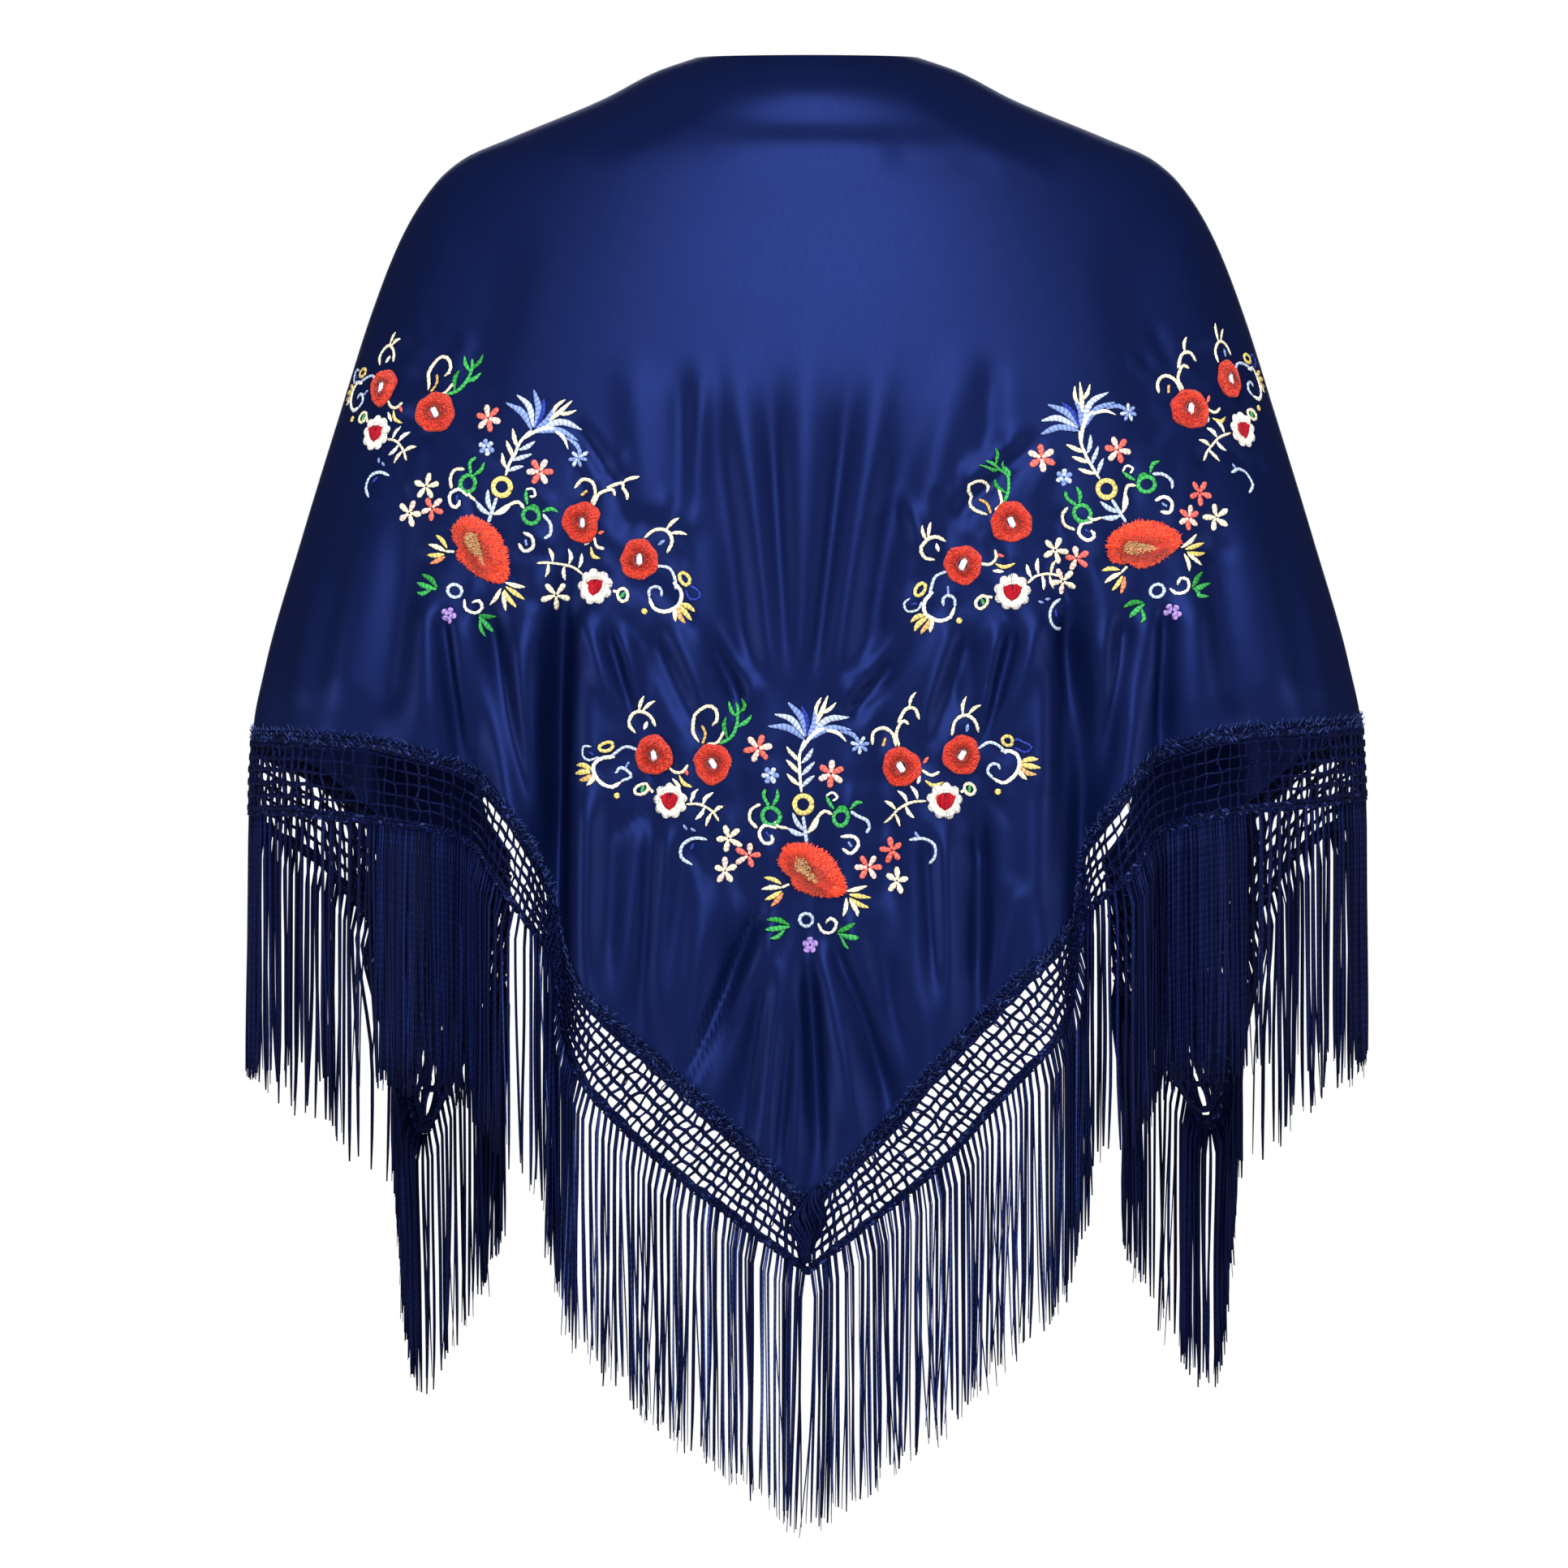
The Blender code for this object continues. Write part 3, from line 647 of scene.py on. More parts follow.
def sweep(heap, paths, widths, heights, facing, sides, colours):
    """Cords along many paths at once. Each has an oval section, with one width along the
    cloth and one height out of it at every step."""
    count, steps = paths.shape[:2]
    widths = np.broadcast_to(widths, (count, steps))
    heights = np.broadcast_to(heights, (count, steps))
    ahead = unit(np.gradient(paths, axis=1))
    across = unit(np.cross(ahead, np.broadcast_to(facing, paths.shape)))
    out = np.cross(across, ahead)
    turn = (2 * np.pi * (np.arange(sides) + 0.5) / sides)[:, None]
    ring = np.cos(turn) * across[:, :, None, :] * widths[:, :, None, None] / 2
    ring = ring + np.sin(turn) * out[:, :, None, :] * heights[:, :, None, None] / 2
    points = paths[:, :, None, :] + ring

    index = np.arange(count * steps * sides).reshape(count, steps, sides)
    near, far = index[:, :-1], index[:, 1:]
    quads = np.stack([near, far, np.roll(far, -1, 2), np.roll(near, -1, 2)], axis=-1)
    run = np.linalg.norm(np.diff(paths, axis=1), axis=-1)
    length = np.concatenate([np.zeros((count, 1)), np.cumsum(run, axis=1)], axis=1)
    around = np.arange(sides) / sides
    low = np.broadcast_to(length[:, :-1, None], near.shape)
    high = np.broadcast_to(length[:, 1:, None], near.shape)
    begin = np.broadcast_to(around, near.shape)
    end = begin + 1 / sides
    pairs = ((begin, low), (begin, high), (end, high), (end, low))
    places = np.stack([np.stack(pair, axis=-1) for pair in pairs], axis=-2)
    caps = np.concatenate([index[:, 0], index[:, -1, ::-1]])
    cap_places = np.zeros((*caps.shape, 2))
    colours = np.asarray(colours, float)
    colours = colours.reshape(colours.shape[0], -1, 1, 3) if colours.ndim > 1 else colours
    pile(heap, points, colours, [quads.reshape(-1, 4), caps], [places.reshape(-1, 4, 2), cap_places])


def wall(heap, points, normals, thickness, colour):
    """A thin wall of even thickness, centred on rows of points. Rows run down the cloth and
    columns towards +X on the back."""
    rows, columns = points.shape[:2]
    sheets = np.stack([points + normals * thickness / 2, points - normals * thickness / 2])
    index = np.arange(2 * rows * columns).reshape(2, rows, columns)
    outer, inner = index
    blocks = [
        np.stack([outer[:-1, :-1], outer[1:, :-1], outer[1:, 1:], outer[:-1, 1:]], axis=-1),
        np.stack([inner[:-1, :-1], inner[:-1, 1:], inner[1:, 1:], inner[1:, :-1]], axis=-1),
        np.stack([outer[0, :-1], outer[0, 1:], inner[0, 1:], inner[0, :-1]], axis=-1),
        np.stack([outer[-1, :-1], inner[-1, :-1], inner[-1, 1:], outer[-1, 1:]], axis=-1),
        np.stack([outer[:-1, 0], inner[:-1, 0], inner[1:, 0], outer[1:, 0]], axis=-1),
        np.stack([outer[:-1, -1], outer[1:, -1], inner[1:, -1], inner[:-1, -1]], axis=-1),
    ]
    faces = np.concatenate([block.reshape(-1, 4) for block in blocks])
    across = np.linalg.norm(np.diff(points, axis=1, prepend=points[:, :1]), axis=-1).cumsum(axis=1)
    across = across - across[:, columns // 2 : columns // 2 + 1]
    down = np.linalg.norm(np.diff(points, axis=0, prepend=points[:1]), axis=-1).cumsum(axis=0)
    place = np.stack([across, down], axis=-1).reshape(-1, 2)
    pile(heap, sheets, colour, [faces], [place[faces % (rows * columns)]])


def heap_piece(name, heap, finish):
    """The heap as one object with its finish, riding on the CAD model's only body."""
    mesh = bpy.data.meshes.new(name)
    points, colours = np.concatenate(heap["points"]), np.concatenate(heap["colours"])
    mesh.from_pydata(points.tolist(), [], [face for block in heap["faces"] for face in block.tolist()])
    thread_place = mesh.uv_layers.new(name="thread_place")
    corners = np.concatenate([block.reshape(-1, 2) for block in heap["places"]])
    thread_place.data.foreach_set("uv", corners.ravel())
    thread_colour = mesh.color_attributes.new("thread_colour", "FLOAT_COLOR", "POINT")
    thread_colour.data.foreach_set("color", np.column_stack([colours, np.ones(len(colours))]).ravel())
    mesh.shade_smooth()
    mesh.materials.append(finish)
    made = bpy.data.objects.new(name, mesh)
    bpy.context.scene.collection.objects.link(made)
    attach(made, "root")
    triangles = sum(len(polygon.vertices) - 2 for polygon in mesh.polygons)
    print(f"{name}: {triangles} triangles")
    return made


# %% [markdown]
# ## Satin
# The cloth is navy polyester satin, woven so that long threads float on the face. The floats
# give it a smooth face with a wide, soft sheen that is blue like the thread and is drawn out
# along it. The sheen is made with a large metallic share, which gives it the thread's blue,
# and with some anisotropy. Real floats are about 0.1 mm wide, too fine to show from here, so
# the streaks below are drawn 0.9 mm wide and kept faint.

# %% Satin finish
STREAK_WIDTH = 0.0009
STREAK_LENGTH = 0.012


def polyester_satin():
    """A finish with a wide blue sheen and faint streaks along the floats."""
    made, tree, output = new_material("polyester_satin")
    place = add_node(tree, "ShaderNodeUVMap", {"uv_map": "thread_place"})
    stretch = (1 / STREAK_WIDTH, 1 / STREAK_LENGTH, 1.0)
    floats = add_node(tree, "ShaderNodeMapping", {}, {"Vector": place.outputs["UV"], "Scale": stretch})
    streaks = add_node(
        tree,
        "ShaderNodeTexNoise",
        {},
        {"Vector": floats.outputs["Vector"], "Scale": 1.0, "Detail": 2.0},
    )
    broad = add_node(tree, "ShaderNodeTexNoise", {}, {"Vector": place.outputs["UV"], "Scale": 9.0})
    tone = add_node(tree, "ShaderNodeMix", {"data_type": "RGBA"}, {0: broad.outputs["Fac"]})
    tone.inputs[6].default_value = (*linear("#0C1740"), 1)
    tone.inputs[7].default_value = (*linear("#0E1A48"), 1)
    sheen = add_node(
        tree,
        "ShaderNodeMapRange",
        {},
        {"Value": streaks.outputs["Fac"], "To Min": 0.42, "To Max": 0.52},
    )
    relief = add_node(
        tree,
        "ShaderNodeBump",
        {},
        {"Height": streaks.outputs["Fac"], "Strength": 0.25, "Distance": 0.00012},
    )
    shader = add_node(
        tree,
        "ShaderNodeBsdfPrincipled",
        {},
        {
            "Base Color": tone.outputs[2],
            "Metallic": 0.60,
            "Roughness": sheen.outputs["Result"],
            "Anisotropic": 0.3,
            "IOR": 1.45,
            "Specular IOR Level": 0.45,
            "Specular Tint": (*linear("#7C8AC6"), 1),
            "Normal": relief.outputs["Normal"],
        },
    )
    tree.links.new(shader.outputs[0], output.inputs["Surface"])
    return made


satin_finish = polyester_satin()
print("finish:", satin_finish.name)

# %% [markdown]
# ## The satin triangle
# The triangle hangs as one sheet with no seam. A grid covers it, with its columns running
# down from the neck edge to the fringed edge. The columns stand closer on the back, where
# the creases are, than on the front. The sheet gets a real thickness, because a single
# layer of faces would have no edge. The cloth was cut 1.50 m along its long side and
# 0.71 m deep.

# %% The satin triangle
SATIN_THICKNESS = 0.0006
CLOTH_ROWS = 122
BACK_COLUMN_PITCH = 0.0035
FRONT_COLUMN_PITCH = 0.0120
COLUMNS_WIDEN = (66, 90)
ROW_CROWDING = 1.25
LINE_SAMPLES = 3000


def spaced_stations(side, share, back_pitch, front_pitch, change):
    """Stations along a line of the border, one pitch apart on the back and another on the
    front, changing between two azimuths."""
    rows = LEFT_BORDER if side < 0 else RIGHT_BORDER
    fine = np.linspace(0, len(rows) - 1, LINE_SAMPLES)
    azimuth, drop = border_place(side, fine, share)
    steps = np.linalg.norm(np.diff(cloth_point(azimuth, drop), axis=0), axis=-1)
    pitch = back_pitch + (front_pitch - back_pitch) * fade(*change, np.abs(azimuth[1:]))
    turns = np.concatenate([[0], np.cumsum(steps / pitch)])
    count = round(turns[-1])
    return np.interp(np.arange(count + 1) * turns[-1] / count, turns, fine)


def satin_grid():
    """Points and normals of the whole sheet."""
    edges = []
    for side in (-1, 1):
        columns = spaced_stations(side, 0, BACK_COLUMN_PITCH, FRONT_COLUMN_PITCH, COLUMNS_WIDEN)
        edges.append(np.array(border_place(side, columns, 0)))
    azimuths, drops = np.concatenate([edges[0][:, ::-1], edges[1][:, 1:]], axis=1)
    share = (np.arange(CLOTH_ROWS + 1) / CLOTH_ROWS) ** ROW_CROWDING
    drop = share[:, None] * drops
    azimuth = azimuths * front_edge(drop) / front_edge(drops)
    return cloth_point(azimuth, drop), cloth_normal(azimuth, drop)


satin_heap = new_heap()
grid_points, grid_normals = satin_grid()
wall(satin_heap, grid_points, grid_normals, SATIN_THICKNESS, linear("#0E1942"))
satin = heap_piece("draped_satin", satin_heap, satin_finish)
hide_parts("satin_cloth")

# %% [markdown]
# ## Rayon cord
# Net and fringe are knotted from rayon cord of the satin's own navy. Rayon is bright but it
# is twisted here, so the light breaks up along the twist and the cord looks darker than the
# satin. Its twist repeats about every 4 mm, which can be seen close up, so it is drawn at
# its real size as slanted bands, both as bumps and as painted shade and painted highlight
# in the colour. At the scale used for them, the bands repeat about every two units, so the
# thread's length is counted in half twists and its girth as two units. The threads differ
# a little in tone.

# %% Cord finish
HALF_TWIST = 0.0021
BAND_SCALE = 0.32
BAND_REPEAT = 2.0
TWIST_DEPTH = 0.0002
CORD_NAVY = linear("#0D1540")
# A lighter copy of the cord navy for painted highlight, and a darker one for painted shade.
CORD_PAINTED_HIGHLIGHT = linear("#3E4F8C")
CORD_PAINTED_SHADE = linear("#070B24")


def twisted_thread(name, roughness, half_twist, depth, metallic):
    """A finish for cord or thread whose own colour is kept in the mesh. Half a twist and the
    depth of the bands are in metres."""
    made, tree, output = new_material(name)
    place = add_node(tree, "ShaderNodeUVMap", {"uv_map": "thread_place"})
    stretch = (BAND_REPEAT, 1 / half_twist, 1.0)
    along = add_node(tree, "ShaderNodeMapping", {}, {"Vector": place.outputs["UV"], "Scale": stretch})
    bands = add_node(
        tree,
        "ShaderNodeTexWave",
        {"wave_type": "BANDS", "bands_direction": "DIAGONAL"},
        {"Vector": along.outputs["Vector"], "Scale": BAND_SCALE, "Distortion": 0.6},
    )
    own = add_node(tree, "ShaderNodeVertexColor", {"layer_name": "thread_colour"})
    # The bands also scale the thread's colour from 0.62 to 1.12: painted shade in the grooves of the
    # twist and painted highlight on its crests.
    shade = add_node(
        tree, "ShaderNodeMapRange", {}, {"Value": bands.outputs["Fac"], "To Min": 0.62, "To Max": 1.12}
    )
    colour = add_node(
        tree,
        "ShaderNodeVectorMath",
        {"operation": "SCALE"},
        {0: own.outputs["Color"], "Scale": shade.outputs[0]},
    )
    relief = add_node(
        tree, "ShaderNodeBump", {}, {"Height": bands.outputs["Fac"], "Strength": 0.5, "Distance": depth}
    )
    shader = add_node(
        tree,
        "ShaderNodeBsdfPrincipled",
        {},
        {
            "Base Color": colour.outputs[0],
            "Roughness": roughness,
            "Metallic": metallic,
            "Specular IOR Level": 0.2,
            "Specular Tint": (*linear("#8090D8"), 1),
            "Normal": relief.outputs["Normal"],
        },
    )
    tree.links.new(shader.outputs[0], output.inputs["Surface"])
    return made


rayon_cord = twisted_thread(
    "rayon_cord", roughness=0.5, half_twist=HALF_TWIST, depth=TWIST_DEPTH, metallic=0.35
)
print("finish:", rayon_cord.name)

# %% [markdown]
# ## The braided header
# A dense braid joins the net to the satin. It could be a band with a braided texture, but
# its edge is lumpy and its knots catch the light, so each knot is a short, fat cord, and
# about one in six has a painted glint. Three rows lie over a thin band, slanted left and
# right in turn, and the band's dark navy is painted shade in the gaps between the knots.
# Loose ends of thread, in a lighter navy that is painted highlight, stand up along the edge.
# Each row has a share of the way from the cloth's edge to the fringe, and the slant of its
# knots in degrees.

# %% The braided header
HEADER_ROWS = ((0.02, 32), (0.07, -30), (0.12, 34))
HEADER_END = 0.14
KNOT_PITCH = 0.0031
KNOT_LENGTH = 0.0044
KNOT_WIDTH = 0.0021
KNOT_SHAPE = np.array([0.45, 1.0, 0.45])
LOOSE_SHARES = (0.0, 0.06, 0.13)
LOOSE_PITCH = 0.0024
LOOSE_WIDTHS = np.array([0.0006, 0.0005, 0.0002])
BAND_PITCH = 0.006
BAND_THICKNESS = 0.0012
BAND_MARGIN = 0.004
SIDES = (("left", -1), ("right", 1))
SMALL_STATION = 0.01
END_MARGIN = 0.012


def border_frame(side, station, share):
    """Points on the border, with the directions along it, down it and out of it."""
    point = cloth_point(*border_place(side, station, share))
    further = cloth_point(*border_place(side, station + SMALL_STATION, share))
    nearer = cloth_point(*border_place(side, station - SMALL_STATION, share))
    out = cloth_normal(*border_place(side, station, share))
    along = unit(further - nearer)
    down = unit(np.cross(along, out) * side)
    return point, along, down, out


def knot_row(heap, side, share, width, slant, chance):
    """A row of slanted knots along the border, about one in six with a painted glint."""
    stations = spaced_stations(side, share, KNOT_PITCH, KNOT_PITCH, (0, 1))
    jitter = chance.uniform(-0.25, 0.25, len(stations)) * np.median(np.diff(stations))
    tied = np.clip(stations + jitter, END_MARGIN, stations[-1] - END_MARGIN)
    point, along, down, out = border_frame(side, tied, share)
    count = len(point)
    lean = np.radians(slant + chance.uniform(-14, 14, count))[:, None]
    direction = along * np.cos(lean) + down * np.sin(lean)
    half = (KNOT_LENGTH / 2 * chance.uniform(0.85, 1.2, count))[:, None]
    lift = out * chance.uniform(-0.0003, 0.0005, count)[:, None]
    steps = np.array([-1.0, 0.0, 1.0])[None, :, None]
    paths = (point + lift)[:, None] + steps * (direction * half)[:, None]
    # About one knot in six gets a painted glint of the lighter navy.
    painted_glint = (chance.random((count, 1)) < 0.16) * chance.uniform(0.10, 0.45, (count, 1))
    tone = chance.uniform(0.3, 0.95, (count, 1)) * np.array(CORD_NAVY) + painted_glint * np.array(CORD_PAINTED_HIGHLIGHT)
    size = width * chance.uniform(0.85, 1.2, count)[:, None] * KNOT_SHAPE
    sweep(heap, paths, size, size * 1.3, out[:, None], 5, tone)
    return count


def border_band(heap, side, low, high, rows, thickness):
    """A thin flat band along the border, filling the gaps between knots with painted shade."""
    stations = spaced_stations(side, (low + high) / 2, BAND_PITCH, BAND_PITCH, (0, 1))[::side]
    stations = np.clip(stations, BAND_MARGIN, None)
    shares = np.linspace(low, high, rows + 1)[:, None]
    points = cloth_point(*border_place(side, stations[None], shares))
    normals = cloth_normal(*border_place(side, stations[None], shares))
    # The band's dark navy is painted shade in the gaps between the knots.
    wall(heap, points, normals, thickness, CORD_PAINTED_SHADE)


def loose_ends(heap, side, share, chance):
    """Short curved hairs that stand up from a row of knots, coloured as painted highlight."""
    stations = spaced_stations(side, share, LOOSE_PITCH, LOOSE_PITCH, (0, 1))
    stations = np.clip(stations, END_MARGIN, stations[-1] - END_MARGIN)
    point, along, down, out = border_frame(side, stations, share)
    count = len(point)
    aside = along * chance.uniform(-1.2, 1.2, (count, 1))
    first = unit(-down + aside + out * chance.uniform(0.2, 0.9, (count, 1)))
    second = unit(first + along * chance.uniform(-1.5, 1.5, (count, 1)))
    length = chance.uniform(0.0012, 0.0030, (count, 1))
    bend = point + first * length
    paths = np.stack([point, bend, bend + second * length], axis=1)
    # The loose ends are coloured in the lighter navy: painted highlight.
    tone = chance.uniform(0.4, 1.3, (count, 1)) * np.array(CORD_PAINTED_HIGHLIGHT)
    sweep(heap, paths, LOOSE_WIDTHS, LOOSE_WIDTHS, out[:, None], 3, tone)


def braided_header(word, side):
    """One side's header: a thin band, three rows of knots over it, and loose ends."""
    chance = np.random.default_rng(20 + side)
    heap = new_heap()
    border_band(heap, side, 0.0, HEADER_END, 2, BAND_THICKNESS)
    knots = 0
    for share, slant in HEADER_ROWS:
        knots += knot_row(heap, side, share, KNOT_WIDTH, slant, chance)
    for share in LOOSE_SHARES:
        loose_ends(heap, side, share, chance)
    header = heap_piece(f"braided_header_{word}", heap, rayon_cord)
    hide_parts(f"top_knots_{word}")
    print("knots in the header:", knots)
    return header


headers = [braided_header(word, side) for word, side in SIDES]

# %% [markdown]
# ## The knotted net
# Five rows of open cells lie between the header and the fringe. Long cords run the length
# of the border, and short ones cross them, with a knot at each crossing. A net could be cut
# out of a sheet, but a hand knotted one is never even, so each cord is laid from knot to
# knot and each knot is shifted a little. Cells are 5.3 mm wide on the back and 7.2 mm on the
# arms. The table gives the width of the cords, in metres, at azimuths in degrees: they are
# finest at the sides of the back, and thickest where the net is crowded at the low tips in
# front. Some short cords have a thin second thread beside them.

# %% The knotted net
NET_LINES = 6
NET_SHARES = np.linspace(0.16, 0.91, NET_LINES)
BACK_CELL = 0.0053
ARM_CELL = 0.0072
ARM_CELLS_BEGIN = (27, 36)
KNOT_SLIDE = 0.26
KNOT_SHIFT = 0.018
KNOT_FATNESS = 1.35 * np.array([0.6, 1.0, 0.6])
SHORT_CORD_SHAPE = np.array([1.3, 0.95, 0.85, 0.95, 1.3])
DOUBLED_SHARE = 0.4
DOUBLED_WIDTH = 0.45
CORD_COLUMNS = ("azimuth", "long_cord", "cross_cord")
NET_CORDS = (
    (0.0, 0.0029, 0.0024),
    (26.0, 0.0028, 0.0023),
    (36.0, 0.0018, 0.0013),
    (56.0, 0.0020, 0.0014),
    (68.0, 0.0034, 0.0026),
    (88.0, 0.0034, 0.0026),
    (105.0, 0.0024, 0.0019),
    (124.0, 0.0026, 0.0021),
    (129.0, 0.0052, 0.0050),
    (142.0, 0.0052, 0.0050),
    (144.0, 0.0040, 0.0034),
    (148.0, 0.0040, 0.0034),
)


def knotted_net(word, side):
    """One side's net: long cords, a knot at each crossing, and short cords between them."""
    chance = np.random.default_rng(40 + side)
    heap = new_heap()
    stations = spaced_stations(side, 0.55, BACK_CELL, ARM_CELL, ARM_CELLS_BEGIN)[1:]
    step = np.gradient(stations)
    count = len(stations)
    slide = stations + step * chance.uniform(-KNOT_SLIDE, KNOT_SLIDE, (NET_LINES, count))
    slide[:, -1] = stations[-1]
    shares = NET_SHARES[:, None] + chance.uniform(-KNOT_SHIFT, KNOT_SHIFT, (NET_LINES, count))
    knots = cloth_point(*border_place(side, slide, shares))
    out = cloth_normal(*border_place(side, slide, shares))
    tone = chance.uniform(0.35, 0.9, (NET_LINES, count, 1)) * np.array(CORD_NAVY)
    azimuth = np.abs(border_place(side, stations, 0.5)[0])
    at = column(NET_CORDS, CORD_COLUMNS, "azimuth")
    long_cord = np.interp(azimuth, at, column(NET_CORDS, CORD_COLUMNS, "long_cord"))
    cross_cord = np.interp(azimuth, at, column(NET_CORDS, CORD_COLUMNS, "cross_cord"))

    for line in range(NET_LINES):
        wave = chance.uniform(-0.0004, 0.0004, (count, 1)) * out[line]
        path = knots[line] + wave
        halfway = (path[1:] + path[:-1]) / 2
        fuller = np.empty((2 * count - 1, 3))
        fuller[0::2], fuller[1::2] = path, halfway
        facing = np.repeat(out[line], 2, axis=0)[:-1]
        size = np.repeat(long_cord, 2)[None, :-1] * chance.uniform(0.8, 1.15, (1, 2 * count - 1))
        sweep(heap, fuller[None], size, size, facing[None], 4, 0.6 * np.array(CORD_NAVY))

    along = unit(np.gradient(knots, axis=1))
    steps = np.array([-1.0, 0.0, 1.0])[None, :, None]
    half = along * chance.uniform(0.0013, 0.0019, (NET_LINES, count, 1))
    centres = knots + out * 0.0002
    paths = centres.reshape(-1, 1, 3) + steps * half.reshape(-1, 1, 3)
    size = np.tile(long_cord, NET_LINES)[:, None] * chance.uniform(0.85, 1.1, (NET_LINES * count, 1))
    size = size * KNOT_FATNESS
    sweep(heap, paths, size, size, out.reshape(-1, 1, 3), 4, tone.reshape(-1, 3))

    every = np.ones((NET_LINES - 1, count), bool)
    doubled = chance.random((NET_LINES - 1, count)) < DOUBLED_SHARE
    for thin, chosen in ((1.0, every), (DOUBLED_WIDTH, doubled)):
        top, low = knots[:-1][chosen], knots[1:][chosen]
        facing, sideways = out[:-1][chosen], along[:-1][chosen]
        number = len(top)
        spread = 0.0004 if thin == 1.0 else 0.0012
        bow = sideways * chance.uniform(-spread, spread, (number, 1))
        shift = sideways * chance.uniform(-0.0006, 0.0006, (number, 1)) / thin
        t = np.linspace(0, 1, 5)[None, :, None]
        paths = (top + shift)[:, None] * (1 - t) + low[:, None] * t
        paths = paths + bow[:, None] * 4 * t * (1 - t) + facing[:, None] * 0.0003 * thin
        size = np.broadcast_to(cross_cord, chosen.shape)[chosen][:, None] * thin
        size = size * chance.uniform(0.8, 1.2, (number, 1)) * SHORT_CORD_SHAPE
        sweep(heap, paths, size, size, facing[:, None], 4, tone[:-1][chosen])

    net = heap_piece(f"knotted_net_{word}", heap, rayon_cord)
    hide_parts(f"net_{word}")
    print("cells in the net:", (NET_LINES - 1) * (count - 1))
    return net


nets = [knotted_net(word, side) for word, side in SIDES]

# %% [markdown]
# ## The fringe
# Below the net a last, close band of knots gathers the cords, and the fringe hangs from it.
# Hair particles would be quick, but every strand here has its own root and its own sway, so
# each is swept along a path: it leaves the knots, turns straight down and drifts a little on
# the way. The ends were trimmed by hand and are ragged.
#
# The first table says how far apart the strands are, in metres, at an azimuth in degrees, and
# how many thinner threads come with each on average. They are crowded behind the arms and
# beside the low tips in front. The second table draws those at the tips together into two
# bundles: strands that start so many degrees past the tip hang at so many. Elsewhere strands
# lean towards one another in clusters of two sizes. Many thin threads get a pale painted
# highlight, which is mostly taken away behind the arms, so that they stay dark there as
# painted shade.

# %% The fringe
FRINGE_LENGTH = 0.153
FRINGE_RAGGED = 0.008
STRAND_WIDTH = 0.0021
THIN_STRAND = 0.46
STRAND_STEPS = 10
STAND_OFF = 0.0045
ROOT_SHARE = 0.99
ROOT_SAMPLES = 4000
FRONT_BEGINS = 120
CLOSING_BEGINS = 0.92
CLOSING_THICKNESS = 0.0016
CLOSING_ROWS = ((0.925, 28), (0.965, -30), (0.995, 20))
CLOSING_KNOT_WIDTH = 0.0022
LEAVING_SHARE = 0.08
GATHERED_BY = 0.6
CLUSTERS = ((9.0, 0.7, 0.0016), (23.0, 0.0, 0.0010))
BEHIND_ARM = (28, 36)
PITCH_COLUMNS = ("azimuth", "pitch", "split")
STRAND_PITCHES = (
    (0.0, 0.0050, 1.9),
    (24.0, 0.0050, 1.9),
    (27.0, 0.0040, 1.0),
    (30.5, 0.0060, 0.6),
    (34.0, 0.0050, 0.5),
    (36.0, 0.0014, 0.8),
    (49.5, 0.0014, 0.8),
    (52.0, 0.0060, 0.4),
    (77.0, 0.0060, 0.4),
    (82.0, 0.0028, 0.6),
    (104.0, 0.0028, 0.6),
    (110.0, 0.0056, 0.5),
    (127.5, 0.0056, 0.5),
    (129.5, 0.0026, 0.4),
    (134.5, 0.0012, 0.4),
    (136.2, 0.0012, 0.4),
    (137.0, 0.0062, 0.8),
    (141.8, 0.0062, 0.8),
    (142.8, 0.0017, 0.4),
    (147.4, 0.0017, 0.4),
)
GATHER_COLUMNS = ("past_tip", "hangs_past_tip")
GATHERS = (
    (-12.0, -12.0),
    (-9.4, -8.6),
    (-8.2, -3.4),
    (-4.1, -2.1),
    (-1.5, -0.7),
    (0.5, 0.6),
    (1.5, 1.7),
    (6.0, 6.1),
    (11.5, 10.9),
)


def strand_roots(side, chance):
    """Stations of the strands, as close together as the table says, and how far each splits."""
    rows = LEFT_BORDER if side < 0 else RIGHT_BORDER
    fine = np.linspace(0, len(rows) - 1, ROOT_SAMPLES)
    azimuth, drop = border_place(side, fine, 1.0)
    steps = np.linalg.norm(np.diff(cloth_point(azimuth, drop), axis=0), axis=-1)
    at = column(STRAND_PITCHES, PITCH_COLUMNS, "azimuth")
    pitch = np.interp(np.abs(azimuth[1:]), at, column(STRAND_PITCHES, PITCH_COLUMNS, "pitch"))
    turns = np.concatenate([[0], np.cumsum(steps / pitch)])
    stations = np.interp(np.arange(0.5, turns[-1]), turns, fine)
    azimuth, _ = border_place(side, stations, 1.0)
    split = np.interp(np.abs(azimuth), at, column(STRAND_PITCHES, PITCH_COLUMNS, "split"))
    copies = np.floor(split + chance.random(len(stations))).astype(int)
    return stations, np.repeat(stations, copies)


def gathering(side, azimuth, drop):
    """How far strands near the low tip at the front are drawn together into two bundles."""
    rows = LEFT_BORDER if side < 0 else RIGHT_BORDER
    fringe_azimuth = column(rows, BORDER_COLUMNS, "fringe_azimuth")
    front = fringe_azimuth > FRONT_BEGINS
    lowest = column(rows, BORDER_COLUMNS, "fringe_drop")[front].argmax()
    past_tip = np.abs(azimuth) - fringe_azimuth[front][lowest]
    at = column(GATHERS, GATHER_COLUMNS, "past_tip")
    hangs = np.interp(past_tip, at, column(GATHERS, GATHER_COLUMNS, "hangs_past_tip"))
    hangs = np.where(past_tip < at[0], past_tip, hangs)
    return cloth_point(azimuth + side * (hangs - past_tip), drop) - cloth_point(azimuth, drop)


